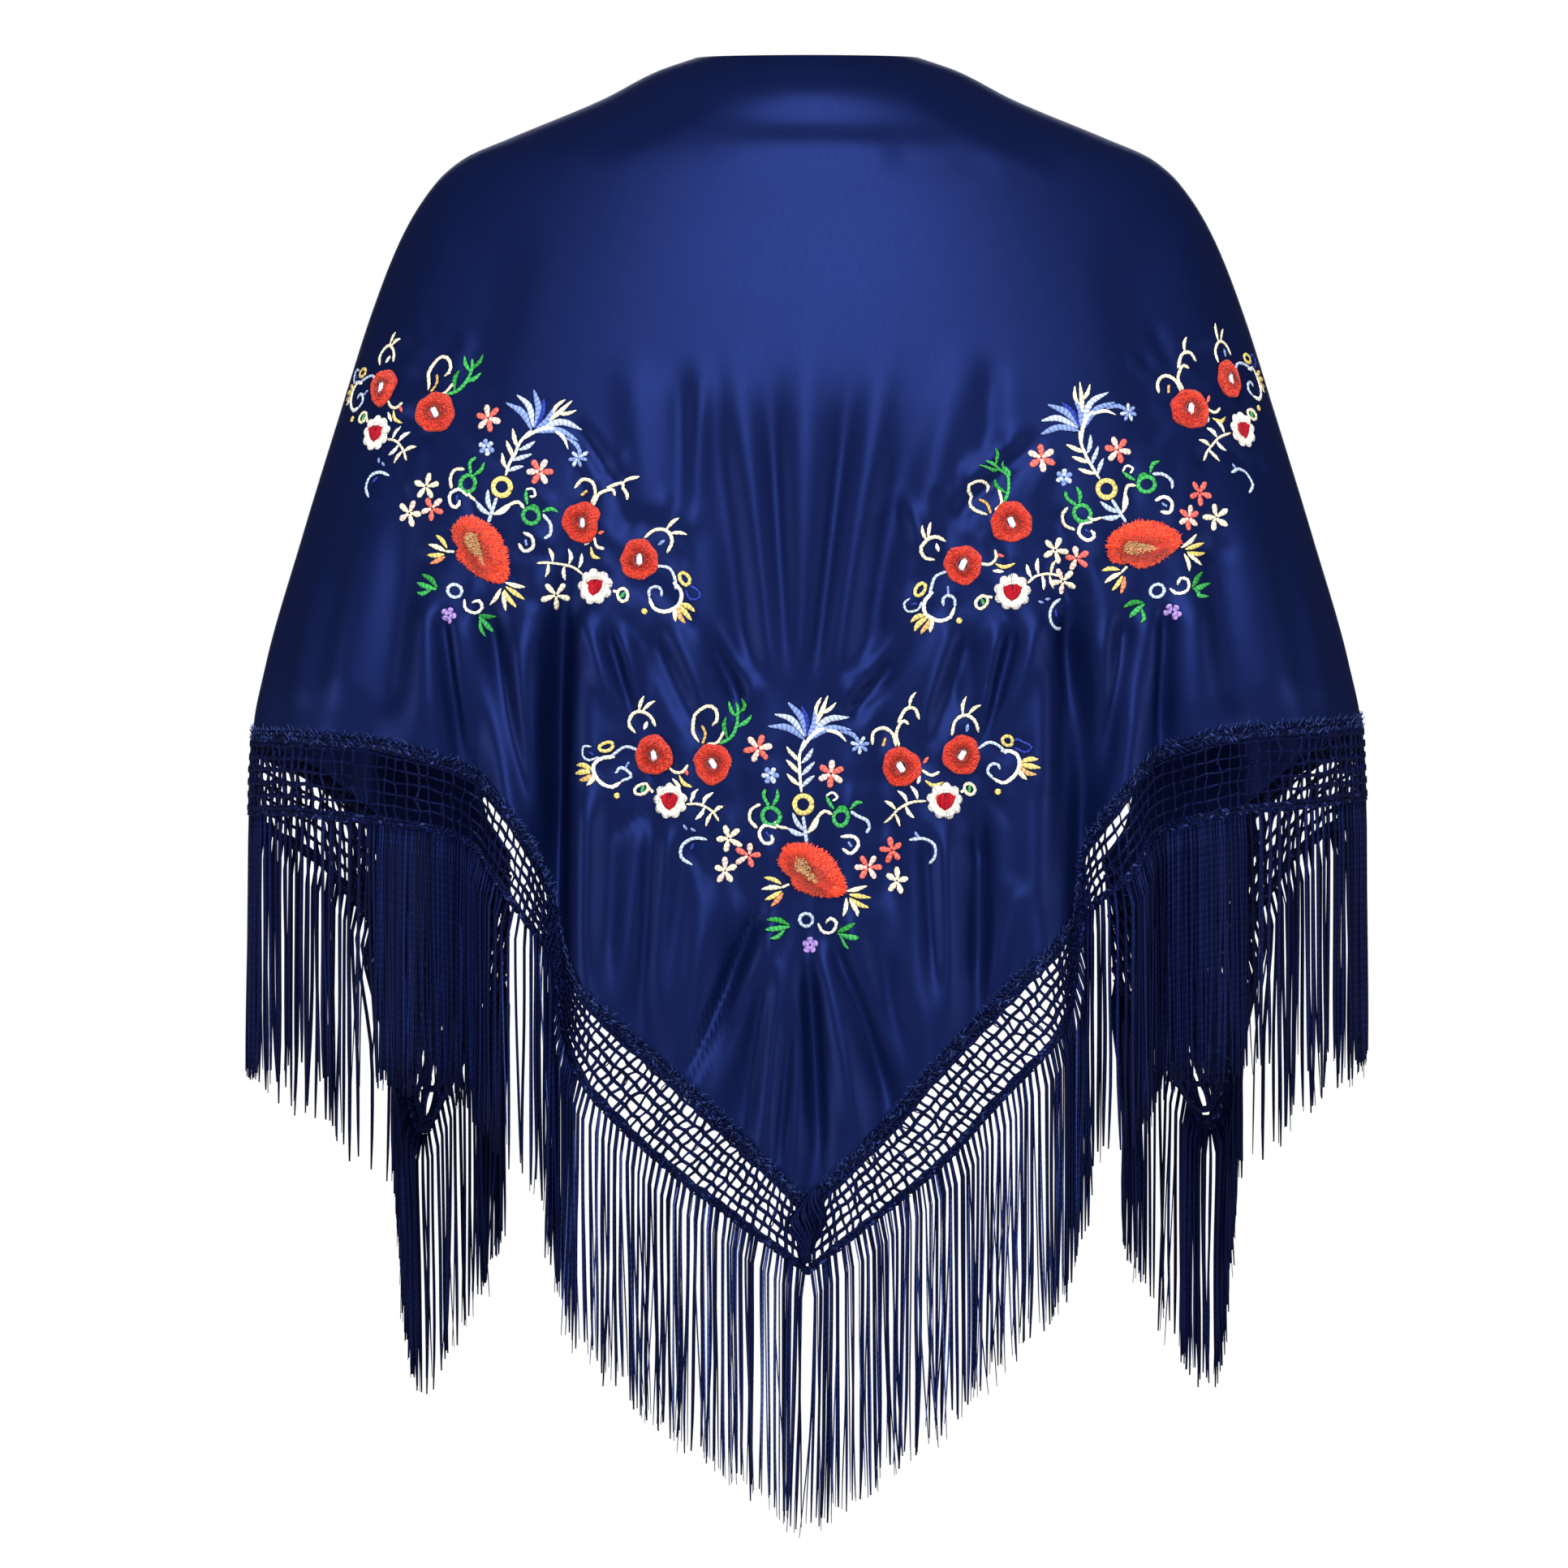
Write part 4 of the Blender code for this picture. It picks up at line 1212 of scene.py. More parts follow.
def long_fringe(word, side):
    """One side's fringe: the closing band of knots, and the strands that hang from it."""
    chance = np.random.default_rng(60 + side)
    heap = new_heap()
    # The closing band's dark navy is painted shade in the gaps between its knots.
    border_band(heap, side, CLOSING_BEGINS, 1.0, 1, CLOSING_THICKNESS)
    for share, slant in CLOSING_ROWS:
        knot_row(heap, side, share, CLOSING_KNOT_WIDTH, slant, chance)

    whole, split = strand_roots(side, chance)
    stations = np.concatenate([whole, split + chance.uniform(-0.02, 0.02, len(split))])
    thin = np.concatenate([np.ones(len(whole)), np.full(len(split), THIN_STRAND)])
    stations = np.clip(stations + chance.uniform(-0.01, 0.01, len(stations)), 0.01, whole.max())
    count = len(stations)
    root, along, down, out = border_frame(side, stations, ROOT_SHARE)
    level = np.array([1.0, 1.0, 0.0])
    away = unit(out * level)
    beside = unit(np.cross(away, np.array([0.0, 0.0, 1.0])))
    steepness = np.abs(along[:, 2:3])
    stand = away * (0.0004 + steepness * STAND_OFF * chance.uniform(0.1, 1.0, (count, 1)))
    length = FRINGE_LENGTH + chance.uniform(-1, 0.7, count) * FRINGE_RAGGED

    t = np.linspace(0, 1, STRAND_STEPS)[None, :, None] ** 1.2
    fall = np.array([0.0, 0.0, -1.0])
    bend = root + down * 0.004 + stand
    leave = fade(0, LEAVING_SHARE, t)
    paths = root[:, None] * (1 - leave) + (bend + fall * 0.002)[:, None] * leave
    paths = paths + fall * (t * (length[:, None, None] - 0.006))
    azimuth, drop = border_place(side, stations, ROOT_SHARE)
    pulled = gathering(side, azimuth, drop) * level
    paths = paths + pulled[:, None] * fade(0, GATHERED_BY, t)
    free = 1 - fade(0, 0.004, np.linalg.norm(pulled, axis=-1, keepdims=True))
    together = sum(np.sin(stations * rate + start) * size for rate, start, size in CLUSTERS)
    drift = chance.normal(0, 1, (count, 1)) * (0.0009 + 0.0028 * free * (thin[:, None] < 1))
    drift = drift + together[:, None] * free
    sway = chance.normal(0, 0.0007, (count, 1, 1))
    sway = sway * np.sin(t * 6.0 + chance.uniform(0, 6, (count, 1, 1)))
    paths = paths + beside[:, None] * (drift[:, None] * t**1.6 + sway * t)
    paths = paths + away[:, None] * chance.normal(0, 0.0009, (count, 1, 1)) * t
    shape = np.concatenate([[1.15], np.ones(STRAND_STEPS - 3), [0.85, 0.45]])
    size = STRAND_WIDTH * thin[:, None] * chance.uniform(0.85, 1.15, (count, 1)) * shape
    behind_arm = fade(*BEHIND_ARM, np.abs(border_place(side, stations, 1.0)[0]))[:, None]
    # Many thin strands get a pale painted highlight, mostly taken away behind the arms, which stay dark
    # as painted shade.
    pale = chance.uniform(0.0, 1.0, (count, 1)) ** 2 * (thin[:, None] < 1) * (1 - 0.85 * behind_arm)
    tone = np.clip(chance.normal(0.62, 0.22, (count, 1)), 0.25, 1.3) * np.array(CORD_NAVY)
    sweep(heap, paths, size, size, away[:, None], 4, tone + pale * np.array(CORD_PAINTED_HIGHLIGHT))

    fringe = heap_piece(f"long_fringe_{word}", heap, rayon_cord)
    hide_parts(f"fringe_{word}")
    print("strands:", count)
    return fringe


fringes = [long_fringe(word, side) for word, side in SIDES]

# %% [markdown]
# ## The gathered knot at the point
# At the lowest point the two borders meet and their cords are gathered into one thick knot.
# It hides the join of the two nets. It is a short bundle of cords, twisted round each other.

# %% The gathered knot
KNOT_DROP = 0.670
KNOT_HEIGHT = 0.042
KNOT_STRANDS = 34
KNOT_STEPS = 11


def gathered_knot():
    """A bundle of cords that go half a turn round each other."""
    chance = np.random.default_rng(5)
    heap = new_heap()
    t = np.linspace(0, 1, KNOT_STEPS)
    turn = 2 * np.pi * (np.arange(KNOT_STRANDS)[:, None] / KNOT_STRANDS + 0.5 * t)
    fullness = 0.0030 + 0.0085 * np.exp(-(((t - 0.45) / 0.26) ** 2))
    spread = fullness * chance.uniform(0.45, 1.0, (KNOT_STRANDS, 1))
    middle = cloth_point(np.zeros(KNOT_STEPS), KNOT_DROP + KNOT_HEIGHT * t)
    paths = np.empty((KNOT_STRANDS, KNOT_STEPS, 3))
    paths[:, :, 0] = middle[:, 0] + 0.0050 - 0.0130 * t + 0.0070 * t**3 + spread * np.cos(turn)
    paths[:, :, 1] = middle[:, 1] - 0.0022 + 0.5 * spread * np.sin(turn)
    paths[:, :, 2] = middle[:, 2] + chance.normal(0, 0.0008, (KNOT_STRANDS, 1))
    tone = chance.uniform(0.35, 0.8, (KNOT_STRANDS, 1)) * np.array(CORD_NAVY)
    sweep(heap, paths, 0.0021, 0.0021, np.array([0.0, -1.0, 0.0]), 5, tone)
    knot = heap_piece("gathered_knot", heap, rayon_cord)
    return knot


knot_at_point = gathered_knot()
print("cords in the gathered knot:", KNOT_STRANDS, "in", knot_at_point.name)

# %% [markdown]
# ## Placing embroidery
# The sprays are designed flat, in millimetres, and laid on the worn cloth flower by flower.
# Projecting them from the camera would stretch them round the arms, so each stitch is
# measured along the cloth from its flower's place: so far up, then so far round. The three
# sprays share one design. On the shoulders its two wings are turned, as the photo shows.

# %% From the flat design to the cloth
MM = 0.001
SLOPE_STEP = 0.004
LEVEL_STEP = 0.2
DESIGN_PLACES = {
    "left_outer_rose": (-88, 39),
    "left_inner_rose": (-54, 34.5),
    "left_carnation": (-77, 11),
    "poppy": (1, -26),
    "right_inner_rose": (55, 29),
    "right_outer_rose": (89, 36.5),
    "right_carnation": (83, 10),
}
SPRAYS = {
    "back": {
        "left_outer_rose": ("rose_back_left_outer", 0),
        "left_inner_rose": ("rose_back_left_inner", 0),
        "left_carnation": ("carnation_back_left", 0),
        "poppy": ("poppy_back", 0),
        "right_inner_rose": ("rose_back_right_inner", 0),
        "right_outer_rose": ("rose_back_right_outer", 0),
        "right_carnation": ("carnation_back_right", 0),
    },
    "left": {
        "left_outer_rose": ("rose_left_outer_far", 10),
        "left_inner_rose": ("rose_left_outer_near", 10),
        "left_carnation": ("carnation_left_far", 10),
        "poppy": ("poppy_left", 25),
        "right_inner_rose": ("rose_left_inner_far", 40),
        "right_outer_rose": ("rose_left_inner_near", 40),
        "right_carnation": ("carnation_left_near", 40),
    },
    "right": {
        "left_outer_rose": ("rose_right_inner_near", -40),
        "left_inner_rose": ("rose_right_inner_far", -40),
        "left_carnation": ("carnation_right_near", -40),
        "poppy": ("poppy_right", -25),
        "right_inner_rose": ("rose_right_outer_near", -10),
        "right_outer_rose": ("rose_right_outer_far", -10),
        "right_carnation": ("carnation_right_far", -10),
    },
}


def on_cloth(azimuth, drop, right, up):
    """The azimuth and drop of places that lie so far to the right of a place and above it,
    measured along the cloth, in metres."""
    start = cloth_point(azimuth, drop)
    slope = cloth_point(azimuth, drop - SLOPE_STEP) - start
    steepness = slope[..., 2] / np.linalg.norm(slope, axis=-1)
    new_drop = drop - up * steepness
    further = cloth_point(azimuth + LEVEL_STEP, new_drop)
    level = further - cloth_point(azimuth - LEVEL_STEP, new_drop)
    sideways = unit(level)
    lean = np.sum((cloth_point(azimuth, new_drop) - start) * sideways, axis=-1)
    wanted = right - lean
    turned = wanted / (np.linalg.norm(level, axis=-1) / (2 * LEVEL_STEP))
    for _ in range(3):
        middle = azimuth + turned / 2
        further = cloth_point(middle + LEVEL_STEP, new_drop)
        width = further - cloth_point(middle - LEVEL_STEP, new_drop)
        turned = wanted / (np.linalg.norm(width, axis=-1) / (2 * LEVEL_STEP))
    return azimuth + turned, new_drop


def design_to_cloth(flower_name, turn, points):
    """Flat places round a flower, in mm with +y up, as azimuths and drops on the cloth."""
    flower = FLOWERS[flower_name]
    lean = math.radians(turn)
    x, y = points[..., 0] * MM, points[..., 1] * MM
    right = x * math.cos(lean) + y * math.sin(lean)
    up = y * math.cos(lean) - x * math.sin(lean)
    start_azimuth = np.full(x.shape, flower.azimuth)
    start_drop = np.full(x.shape, flower.drop)
    return on_cloth(start_azimuth, start_drop, right, up)


trial = design_to_cloth("poppy_left", 25, np.array([[0.0, 30.0], [30.0, 0.0]]))
print("30 mm up and 30 mm right of the left poppy:", np.round(trial, 3).tolist())

# %% [markdown]
# ## Silk thread
# The flat embroidery is worked in bright silk thread, in satin stitch and stem stitch. Each
# stitched line stands nearly a millimetre proud and has a dark edge of painted shade where it
# meets the satin: a lower, wider line of near-black navy under each one.

# %% Thread colours and finish
THREAD = {
    "white": "#F2F0E6",
    "cream": "#F1E7C8",
    "yellow": "#E3CB78",
    "tan": "#D2A468",
    "orange": "#E4885C",
    "coral": "#EA6A5E",
    "blush": "#F3CDBF",
    "green": "#40A656",
    "leaf": "#2F8C3C",
    "pale": "#BCC9E6",
    "blue": "#7F95D2",
    "deep": "#2A3C98",
    "purple": "#A588CC",
    "red": "#8E1A24",
}
# A near-black navy, laid under every stitched line as painted shade along its edges.
PAINTED_EDGE_SHADE = linear("#050918")
silk_thread = twisted_thread(
    "silk_thread", roughness=0.45, half_twist=0.0014, depth=0.00035, metallic=0.0
)
print("thread colours:", len(THREAD))

# %% [markdown]
# The design is listed by the flower that it grows from. A line is a stitched line of even
# width, and a leaf is one that comes to a point at both ends. Rings are closed lines, and a
# star is a ring of small petals. Widths and places are in mm.

# %% The design: lines and leaves
LINES = {
    "left_outer_rose": (
        ("leaf", "yellow", 2.6, (-124, 30), (-129, 33), (-134, 33)),
        ("leaf", "yellow", 2.8, (-124, 29), (-130, 29), (-136, 28)),
        ("leaf", "tan", 2.6, (-124, 28), (-129, 25), (-134, 24)),
        ("leaf", "cream", 2.4, (-123, 27), (-126, 24), (-129, 21)),
        ("line", "pale", 1.1, (-121, 38), (-126, 36), (-131, 39), (-130, 44), (-125, 44)),
        ("line", "deep", 1.0, (-124, 39), (-127, 41)),
        ("line", "pale", 1.5, (-98, 42), (-105, 44), (-112, 40), (-116, 37)),
        ("line", "white", 1.9, (-112, 38), (-120, 37), (-124, 31), (-121, 23), (-114, 20), (-108, 23)),
        ("line", "pale", 1.5, (-108, 23), (-105, 27), (-107, 31), (-111, 31), (-113, 28)),
        ("line", "cream", 1.7, (-99, 52), (-103, 57), (-101, 63), (-96, 65), (-90, 62), (-87, 56)),
        ("leaf", "cream", 1.9, (-97, 65), (-96, 70), (-94, 74)),
        ("leaf", "cream", 1.9, (-95, 65), (-91, 69), (-87, 71)),
        ("leaf", "white", 2.0, (-94, 54), (-92, 59)),
        ("line", "cream", 1.5, (-80, 33), (-76, 29), (-71, 29), (-67, 33)),
        ("leaf", "yellow", 2.0, (-73, 27), (-70, 22), (-64, 20)),
        ("leaf", "coral", 1.8, (-69, 31), (-66, 27)),
        ("leaf", "white", 1.9, (-77, 25), (-72, 20)),
        ("line", "blue", 1.1, (-103, 35), (-106, 31)),
    ),
    "left_inner_rose": (
        (
            "line",
            "cream",
            1.7,
            (-62, 47),
            (-66, 54),
            (-65, 62),
            (-60, 68),
            (-54, 67),
            (-51, 61),
            (-54, 57),
        ),
        ("line", "tan", 1.4, (-60, 46), (-58, 52), (-60, 57)),
        ("line", "green", 1.7, (-50, 46), (-43, 50), (-39, 57), (-38, 64), (-40, 70)),
        ("leaf", "leaf", 2.2, (-45, 49), (-47, 56), (-46, 62)),
        ("leaf", "green", 2.2, (-39, 56), (-34, 59), (-31, 63)),
        ("leaf", "green", 2.0, (-38, 62), (-43, 66), (-45, 71)),
        ("leaf", "leaf", 2.0, (-38, 64), (-34, 69), (-33, 74)),
        ("line", "cream", 1.4, (-57, 46), (-51, 47), (-47, 54)),
    ),
    "left_carnation": (
        ("line", "cream", 1.3, (-67, 9), (-60, 9), (-53, 5), (-48, -1)),
        ("leaf", "white", 2.1, (-63, 10), (-62, 14), (-60, 18)),
        ("leaf", "white", 2.1, (-58, 9), (-56, 13), (-52, 16)),
        ("leaf", "white", 2.1, (-57, 7), (-59, 3), (-62, 0)),
        ("leaf", "cream", 2.0, (-52, 4), (-48, 7), (-44, 8)),
        ("leaf", "cream", 1.8, (-53, 4), (-55, 0), (-56, -4)),
        ("leaf", "blue", 1.4, (-69, -3), (-67, -6)),
        ("leaf", "blue", 1.4, (-65, -5), (-62, -7)),
        ("line", "pale", 1.7, (-56, -12), (-63, -11), (-70, -15), (-71, -22), (-65, -27)),
        ("leaf", "deep", 1.6, (-63, -14), (-66, -18)),
        ("line", "cream", 1.5, (-88, 16), (-91, 19)),
        ("leaf", "green", 1.8, (-95, 16), (-94, 20)),
    ),
    "poppy": (
        ("leaf", "blue", 3.3, (-3, 51), (-13, 58), (-25, 59)),
        ("leaf", "pale", 3.0, (-3, 53), (-11, 63), (-21, 66)),
        ("leaf", "blue", 3.4, (-2, 53), (-5, 64), (-13, 73)),
        ("leaf", "deep", 3.0, (-2, 53), (-2, 63), (-5, 71)),
        ("leaf", "blue", 2.9, (-1, 53), (3, 61), (3, 69)),
        ("leaf", "cream", 2.4, (0, 55), (6, 65), (11, 77)),
        ("leaf", "cream", 2.0, (4, 64), (4, 70), (7, 76)),
        ("leaf", "cream", 2.0, (6, 66), (12, 69), (16, 73)),
        ("leaf", "pale", 3.2, (0, 53), (11, 63), (24, 64)),
        ("leaf", "blue", 3.0, (0, 51), (12, 58), (25, 57)),
        ("leaf", "blue", 2.2, (18, 56), (26, 54), (31, 47)),
        ("leaf", "white", 2.5, (-5, 44), (0, 52), (8, 57), (17, 55), (22, 50)),
        ("line", "white", 1.6, (-3, 51), (-6, 42), (-6, 31), (-5, 20)),
        ("leaf", "cream", 2.3, (-6, 38), (-10, 42), (-14, 47)),
        ("leaf", "cream", 2.3, (-6, 31), (-10, 35), (-14, 39)),
        ("leaf", "cream", 2.2, (-6, 24), (-10, 27), (-14, 31)),
        ("leaf", "pale", 2.3, (-5, 37), (-1, 41), (2, 46)),
        ("leaf", "pale", 2.3, (-5, 30), (-1, 34), (3, 38)),
        ("leaf", "pale", 2.2, (-5, 23), (-1, 27), (3, 30)),
        ("line", "pale", 1.8, (-4, 6), (-3, -2), (-2, -10)),
        ("leaf", "pale", 2.6, (-3, -3), (-8, 2), (-11, 8)),
        ("leaf", "pale", 2.6, (-3, -5), (-9, -4), (-15, -1)),
        ("leaf", "white", 2.4, (-2, -4), (3, 0), (6, 6)),
        ("line", "green", 1.8, (-25, 12), (-28, 18), (-27, 22)),
        ("leaf", "green", 2.2, (-23, 12), (-20, 17), (-20, 22)),
        ("line", "cream", 1.7, (-30, 13), (-35, 10), (-36, 4), (-32, -1)),
        ("line", "cream", 1.5, (-15, -1), (-20, 0), (-22, 3)),
        ("leaf", "leaf", 2.6, (16, 9), (20, 11), (24, 9)),
        ("leaf", "green", 2.2, (25, 10), (29, 14), (34, 14)),
        ("leaf", "green", 2.0, (15, 10), (12, 14), (10, 18)),
        ("line", "cream", 1.7, (-1, -4), (4, 4), (9, 9), (14, 7)),
        ("line", "pale", 1.7, (26, 9), (32, 6), (35, 0), (33, -4)),
        ("line", "white", 1.8, (-21, -1), (-27, 1), (-31, -4), (-28, -10), (-23, -9), (-24, -5)),
        ("line", "deep", 1.2, (-27, -3), (-25, -6)),
        ("line", "white", 1.8, (20, -6), (26, -6), (29, -11), (25, -16), (20, -13)),
        ("line", "blue", 1.3, (23, -9), (25, -12)),
        ("line", "white", 1.2, (10, 18), (14, 20), (17, 17), (14, 15)),
        ("leaf", "yellow", 2.3, (-18, -34), (-23, -31), (-28, -30)),
        ("leaf", "cream", 2.5, (-18, -36), (-24, -36), (-30, -37)),
        ("leaf", "yellow", 2.4, (-18, -38), (-23, -41), (-28, -43)),
        ("leaf", "orange", 2.4, (-17, -39), (-20, -43), (-24, -47)),
        ("line", "cream", 1.3, (-13, -34), (-18, -36)),
        ("leaf", "cream", 2.3, (22, -38), (29, -37), (35, -35)),
        ("leaf", "yellow", 2.4, (24, -40), (31, -41), (38, -42)),
        ("leaf", "yellow", 2.3, (24, -42), (30, -46), (36, -48)),
        ("leaf", "cream", 2.4, (24, -43), (27, -48), (30, -53)),
        ("leaf", "cream", 2.2, (22, -42), (22, -48), (21, -53)),
        ("leaf", "leaf", 2.8, (-13, -58), (-19, -55), (-26, -55)),
        ("leaf", "green", 2.8, (-13, -59), (-19, -60), (-27, -61)),
        ("leaf", "green", 2.2, (-16, -61), (-20, -65), (-24, -66)),
        ("leaf", "leaf", 2.8, (17, -62), (23, -60), (29, -57)),
        ("leaf", "green", 2.8, (17, -63), (24, -65), (32, -66)),
        ("leaf", "green", 2.2, (18, -64), (21, -69), (26, -72)),
        ("line", "white", 1.6, (5, -57), (8, -62), (14, -62), (17, -57), (13, -54), (10, -57)),
    ),
    "right_inner_rose": (
        ("line", "cream", 1.7, (38, 42), (38, 49), (44, 52), (50, 48), (52, 41)),
        ("line", "cream", 1.6, (54, 41), (52, 49), (56, 56), (60, 54)),
        ("line", "cream", 1.7, (53, 55), (58, 63), (64, 63), (67, 57)),
        ("leaf", "cream", 1.8, (60, 64), (61, 69), (64, 73)),
        ("line", "tan", 1.4, (44, 41), (45, 46)),
        ("line", "cream", 1.5, (67, 27), (72, 24), (77, 26)),
        ("leaf", "yellow", 2.0, (69, 21), (74, 18), (79, 20)),
        ("leaf", "coral", 1.8, (68, 31), (71, 35)),
        ("leaf", "white", 1.8, (66, 24), (65, 19)),
    ),
    "right_outer_rose": (
        ("line", "cream", 1.7, (83, 48), (85, 56), (91, 60), (97, 57), (99, 50)),
        ("leaf", "cream", 1.9, (90, 60), (90, 66), (92, 71)),
        ("leaf", "cream", 1.9, (93, 60), (97, 64), (101, 66)),
        ("leaf", "blue", 1.8, (92, 50), (93, 55)),
        ("line", "pale", 1.5, (99, 40), (106, 44), (113, 41), (117, 37)),
        ("line", "white", 1.9, (113, 39), (121, 38), (124, 31), (121, 23), (114, 20), (108, 23)),
        ("line", "pale", 1.5, (108, 23), (105, 27), (107, 31), (111, 31), (113, 28)),
        ("line", "deep", 1.2, (122, 41), (126, 38), (130, 40), (130, 44), (126, 46), (123, 45)),
        ("leaf", "yellow", 2.6, (124, 32), (129, 34), (134, 34)),
        ("leaf", "yellow", 2.8, (124, 31), (130, 30), (136, 29)),
        ("leaf", "tan", 2.6, (124, 30), (129, 26), (134, 25)),
        ("leaf", "cream", 2.4, (123, 29), (126, 25), (129, 22)),
    ),
    "right_carnation": (
        ("line", "cream", 1.3, (72, 10), (63, 9), (54, 4), (46, -3)),
        ("leaf", "white", 2.1, (67, 11), (66, 15), (63, 19)),
        ("leaf", "white", 2.1, (61, 9), (59, 13), (55, 16)),
        ("leaf", "white", 2.1, (60, 7), (62, 3), (65, 0)),
        ("leaf", "cream", 2.0, (54, 5), (51, 8), (47, 10)),
        ("leaf", "cream", 1.8, (53, 3), (55, -1), (56, -5)),
        ("line", "pale", 1.7, (62, -13), (69, -12), (76, -16), (76, -23), (70, -27)),
        ("leaf", "blue", 1.6, (65, -8), (67, -12)),
        ("line", "cream", 1.5, (93, 15), (96, 17)),
        ("leaf", "green", 1.8, (99, 15), (99, 19)),
    ),
}
print("stitched lines:", sum(len(rows) for rows in LINES.values()))

# %% [markdown]
# A ring has a colour, a thread width, a middle, two half sizes and a tilt in degrees. A star
# has a middle, a number of petals, their length and width, a turn, and two colours that take
# turns. Where a shoulder leaves no room for a few lines or stars, the places that they begin
# at are listed as crowded.

# %% The design: rings and stars
RINGS = {
    "left_outer_rose": (
        ("yellow", 1.7, (-117, 44), 4.2, 2.6, 15),
        ("yellow", 1.8, (-111, 15), 0.9, 0.7, 0),
    ),
    "left_carnation": (("cream", 1.6, (-95, 18), 4.0, 3.0, 30),),
    "poppy": (
        ("yellow", 2.6, (-4, 13), 5.4, 5.2, 0),
        ("green", 2.1, (-24, 6), 4.8, 5.2, 10),
        ("green", 2.1, (20, 5), 5.2, 4.6, -10),
        ("pale", 1.6, (-2.5, -55), 4.4, 3.8, 0),
    ),
    "right_outer_rose": (
        ("yellow", 1.7, (117, 45), 4.2, 2.6, -15),
        ("yellow", 1.8, (111, 15), 0.9, 0.7, 0),
    ),
    "right_carnation": (("cream", 1.6, (99, 17), 4.0, 3.0, -30),),
}
STARS = {
    "poppy": (
        ((-31, 46), 6, 8.4, 3.3, 10, ("blush", "coral")),
        ((13, 31), 6, 8.2, 3.2, 25, ("coral", "blush")),
        ((-38, -17), 5, 7.4, 3.0, 5, ("coral", "blush")),
        ((-48, -7), 5, 8.2, 3.0, 40, ("cream", "cream")),
        ((-51, -26), 5, 8.2, 3.0, 20, ("cream", "blush")),
        ((35, -24), 6, 7.6, 3.0, 0, ("coral", "blush")),
        ((49, -14), 5, 8.0, 3.0, 30, ("coral", "coral")),
        ((53, -32), 5, 8.4, 3.0, 10, ("cream", "cream")),
        ((-24, 30), 6, 5.2, 2.6, 0, ("blue", "pale")),
        ((30, 48), 7, 5.6, 1.9, 12, ("blue", "pale")),
        ((0, -70), 5, 5.0, 3.2, 18, ("purple", "purple")),
    ),
}
CROWDED = {"left": ((35, -24), (49, -14), (62, -13), (65, -8))}
print("rings and stars:", sum(map(len, RINGS.values())) + sum(map(len, STARS.values())))

# %% [markdown]
# Every line of the design is smoothed, cut into even steps and laid on the cloth, where a
# flat oval of thread is swept along it. Each kind has its own profile: a line keeps its
# width, a leaf comes to a point at both ends and a petal is fullest past its middle. Each
# line is measured from its own flower, so it keeps its place beside it round the arm.

# %% Flat embroidery
STROKE_STEPS = 13
STITCH_HEIGHT = 0.0013
STITCH_FULLNESS = 1.32
STITCH_LIFT = 0.00025
SHADE_EDGE_EXTRA = 1.5
SHADE_EDGE_HEIGHT = 0.0005


def curve_piece(a, b, c, d, t):
    """The smooth curve from b to c whose slopes come from their neighbours a and d."""
    bend = (2 * a - 5 * b + 4 * c - d) * t**2 + (3 * b - a - 3 * c + d) * t**3
    return 0.5 * (2 * b + (c - a) * t + bend)


def rounded_line(points):
    """A smooth line through a few places, in even steps."""
    points = np.asarray(points, float)
    ends = [2 * points[0] - points[1], *points, 2 * points[-1] - points[-2]]
    t = np.linspace(0, 1, 12, endpoint=False)[:, None]
    fine = []
    for a, b, c, d in zip(ends, ends[1:], ends[2:], ends[3:]):
        fine.append(curve_piece(a, b, c, d, t))
    fine = np.vstack([*fine, points[-1:]])
    length = np.concatenate([[0], np.cumsum(np.linalg.norm(np.diff(fine, axis=0), axis=1))])
    even = np.linspace(0, length[-1], STROKE_STEPS)
    return np.stack([np.interp(even, length, fine[:, axis]) for axis in (0, 1)], axis=1)


def ring_line(middle, half_width, half_height, tilt):
    """A closed oval line in even steps."""
    turn = np.linspace(0, 2 * np.pi, STROKE_STEPS)
    x, y = half_width * np.cos(turn), half_height * np.sin(turn)
    lean = math.radians(tilt)
    x, y = x * math.cos(lean) - y * math.sin(lean), x * math.sin(lean) + y * math.cos(lean)
    return np.stack([middle[0] + x, middle[1] + y], axis=1)


def spray_strokes(anchor, left_out):
    """Every stitched line that grows from one flower: its path, widths in mm and colour. Those
    that begin at a place that is left out are passed over."""
    t = np.linspace(0, 1, STROKE_STEPS)
    even = np.clip(np.minimum(t, 1 - t) * 14 + 0.45, 0, 1)
    pointed = np.clip(np.sin(np.pi * (0.03 + 0.94 * t)) ** 0.75, 0.2, 1)
    petal = np.clip(np.sin(np.pi * (0.05 + 0.88 * t**1.5)) ** 0.6, 0.3, 1)
    found = []
    for kind, colour, width, *points in LINES.get(anchor, ()):
        if points[0] in left_out:
            continue
        profile = pointed if kind == "leaf" else even
        found.append((rounded_line(points), width * profile, colour))
    for colour, width, middle, half_width, half_height, tilt in RINGS.get(anchor, ()):
        path = ring_line(middle, half_width, half_height, tilt)
        found.append((path, np.full(STROKE_STEPS, width), colour))
    for middle, petals, length, width, turn, colours in STARS.get(anchor, ()):
        if middle in left_out:
            continue
        for k in range(petals):
            angle = math.radians(turn + 360 * k / petals)
            direction = np.array([math.cos(angle), math.sin(angle)])
            path = np.array(middle) + direction * np.linspace(0.6, length, STROKE_STEPS)[:, None]
            found.append((path, width * petal, colours[k % 2]))
    return found


